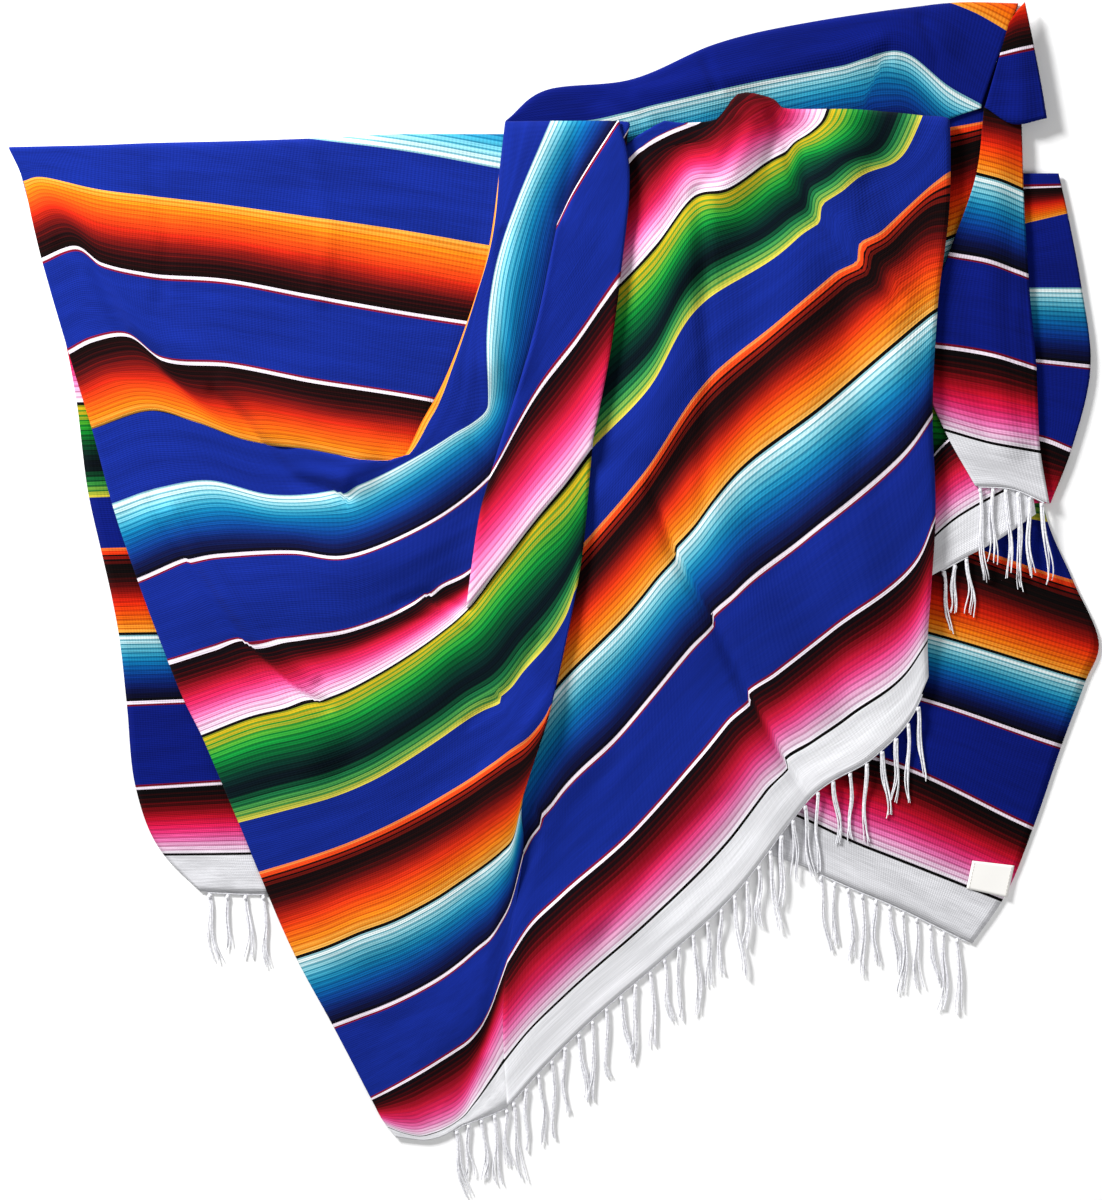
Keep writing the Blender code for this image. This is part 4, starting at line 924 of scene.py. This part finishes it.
# How far yarns part at the knot and on the way, and what each draws on top.
PARTING, PARTING_ON_WAY, PARTING_DRAW = 0.55, 0.75, 0.3
LENGTH_DRAW, THINNER_TIP = (-5, 1), 0.45
TWINE_STEP, TWINE_BEFORE, TWINE_AFTER, TWINE_OUT, TWINE_RADIUS = 3.0, 2, 3, 0.9, 0.9
FRINGE_PIECES = {}
for node, stretch, first, last, spacing, length, on_back_from in FRINGES:
    hem = LAID[stretch][0][-1]
    along_hem = running_sum(np.linalg.norm(np.diff(hem[:, :2], axis=0), axis=1))
    piece = new_yarn_object("yarn_" + node, YARN, YARN_RADIUS)
    strip = np.arange(first - TWINE_BEFORE, last + TWINE_AFTER, TWINE_STEP)
    line = np.stack([np.interp(strip, along_hem, hem[:, axis]) for axis in range(3)], axis=-1)
    tangent = np.gradient(line[:, :2], axis=0)
    tangent /= np.linalg.norm(tangent, axis=1)[:, None]
    outward = np.stack([-tangent[:, 1], tangent[:, 0]], axis=-1)
    twined = line.copy()
    twined[:, :2] += outward * TWINE_OUT
    add_yarn(piece.data, twined, np.full(len(twined), TWINE_RADIUS))
    for order, distance in enumerate(np.arange(first, last + 0.1, spacing)):
        root = np.array([np.interp(distance, strip, line[:, axis]) for axis in range(3)])
        out = np.array([np.interp(distance, strip, outward[:, axis]) for axis in range(2)])
        middle = tassel_middle(root, out, length, on_back_from, order + 1)
        knot = np.repeat(middle[:1], len(KNOT_RADII), axis=0)
        knot[:, 1] += np.linspace(0, KNOT_LENGTH, len(KNOT_RADII))
        knot[:, 2] = np.maximum(knot[:, 2], KNOT_RADII * YARN_RADIUS + AIR_UNDER_KNOT)
        add_yarn(piece.data, knot, KNOT_RADII)
        for side, lift in YARNS:
            spread = PARTING + PARTING_ON_WAY * SHARES + draws.uniform(-PARTING_DRAW, PARTING_DRAW)
            lean, swing, waves, start = (draws.uniform(*ends) for ends in YARN_DRAWS)
            path = middle.copy()
            path[:, 0] += side * spread + (lean * SHARES**2 + swing * np.sin(SHARES * waves + start) * SHARES)
            path[:, 1] += SHARES * draws.uniform(*LENGTH_DRAW)
            path[:, 2] = np.maximum(path[:, 2] + lift, AIR_UNDER_YARN + YARN_RADIUS)
            add_yarn(piece.data, path, 1.0 - THINNER_TIP * SHARES**3)
    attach(piece, "root")
    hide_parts(node)
    FRINGE_PIECES[node] = piece
    print(f"{node:20} {(len(piece.data.splines) - 1) // (len(YARNS) + 1)} tassels")

# %% [markdown]
# ## The care label
# A small satin label is stitched to the back hem near one corner. It stays bare: a thin patch that follows
# its four corners, held by short stitches along its ends.

# %% The label
# From the far left corner round to the near left one.
LABEL_CORNERS = np.array([(973, 861), (1015, 866), (1008, 898), (967, 889)], float)
LABEL_SIZE, LABEL_WALL, LABEL_HEIGHT, LABEL_SLACK = (42, 30), 0.7, 2.75, 0.12
STITCH_HEIGHT, STITCH_RADIUS = 3.2, 0.25
# As shares of the label's sides.
STITCH_INSET, STITCH_ROW, STITCH_LENGTH = 0.06, (0.06, 0.86), 0.07


def on_label(side, down):
    """The place at these shares of the label's width and length."""
    far_left, far_right, near_right, near_left = LABEL_CORNERS
    far = far_left + (far_right - far_left) * side
    near = near_left + (near_right - near_left) * side
    return far + (near - far) * down


LABEL, _ = new_material("white_satin_tape", 0.6, colour="#F0EEEA")
side_share, down_share = np.meshgrid(np.linspace(0, 1, 17), np.linspace(0, 1, 13))
lift = LABEL_HEIGHT + LABEL_SLACK * np.sin(side_share * 6) * np.sin(down_share * 3.14)
label_places = np.dstack([on_label(side_share[..., None], down_share[..., None]), lift])
thread_places = down_share * LABEL_SIZE[1], side_share * LABEL_SIZE[0]
label = make_shell("satin_label", label_places, *thread_places, LABEL, LABEL_WALL)
STITCH, _ = new_material("cotton_thread", 0.8, colour="#CFCBC2")
stitches = new_yarn_object("label_stitches", STITCH, STITCH_RADIUS)
for side in (STITCH_INSET, 1 - STITCH_INSET):
    for start in np.linspace(*STITCH_ROW, 8):
        ends = [(*on_label(side, down), STITCH_HEIGHT) for down in (start, start + STITCH_LENGTH)]
        add_yarn(stitches.data, np.array(ends), (1, 1))
for piece in (label, stitches):
    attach(piece, "root")
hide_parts("label")
print("label corners in mm:", LABEL_CORNERS.tolist())

# %% [markdown]
# ## Which pieces go together
# The fringes go with the stretch whose hem they hang from, and the label with the back panel.

# %% Group the pieces by stretch
GOES_WITH = {name: [] for name in LAID}
for node, stretch, *_ in FRINGES:
    GOES_WITH[stretch].append(FRINGE_PIECES[node])
GOES_WITH["back_panel"] += [label, stitches]
print("cloth that shows, in m2:", round(sum(cut[2] for cut in CUTS.values()), 3))

# %% [markdown]
# ## Floor, light and camera
# Large soft lights show cloth best: small ones would burn out the white hem and give the folds hard edges.
# The camera looks straight down, and its up is the heap's far side.

# %% The stage
floor_mesh = bmesh.new()
bmesh.ops.create_grid(floor_mesh, x_segments=1, y_segments=1, size=6)
# A little under the heap, so that the two never share a plane.
bmesh.ops.translate(floor_mesh, verts=floor_mesh.verts, vec=(0, 0, -0.0006))
floor_data = bpy.data.meshes.new("floor")
floor_mesh.to_mesh(floor_data)
floor_mesh.free()
FLOOR_PAINT, _ = new_material("matt_white_paper", 0.9, colour="#FDFDFD")
floor_data.materials.append(FLOOR_PAINT)
floor = new_object("floor", floor_data)


def add_light(name, place, size, watts):
    """A square soft light that points at the heap."""
    light = bpy.data.lights.new(name, "AREA")
    light.size, light.energy = size, watts
    lamp = new_object(name, light)
    lamp.location = place
    lamp.rotation_euler = (-Vector(place)).to_track_quat("-Z", "Y").to_euler()


add_light("key", place=(-1.9, 2.1, 1.35), size=0.8, watts=200)
add_light("fill", place=(1.8, -1.5, 2.5), size=2.2, watts=40)
world = bpy.data.worlds.new("studio")
world.use_nodes = True
background = world.node_tree.nodes["Background"]
background.inputs["Color"].default_value = linear("#FFFFFF")
background.inputs["Strength"].default_value = 0.24
bpy.context.scene.world = world

camera_data = bpy.data.cameras.new("camera")
camera_data.lens = 85
camera_data.sensor_width = 36
camera = new_object("camera", camera_data)
camera.location = (-0.003, 0.0005, 2.84)
bpy.context.scene.camera = camera
bpy.context.scene.view_settings.view_transform = "Standard"
print("camera height in m:", camera.location.z)
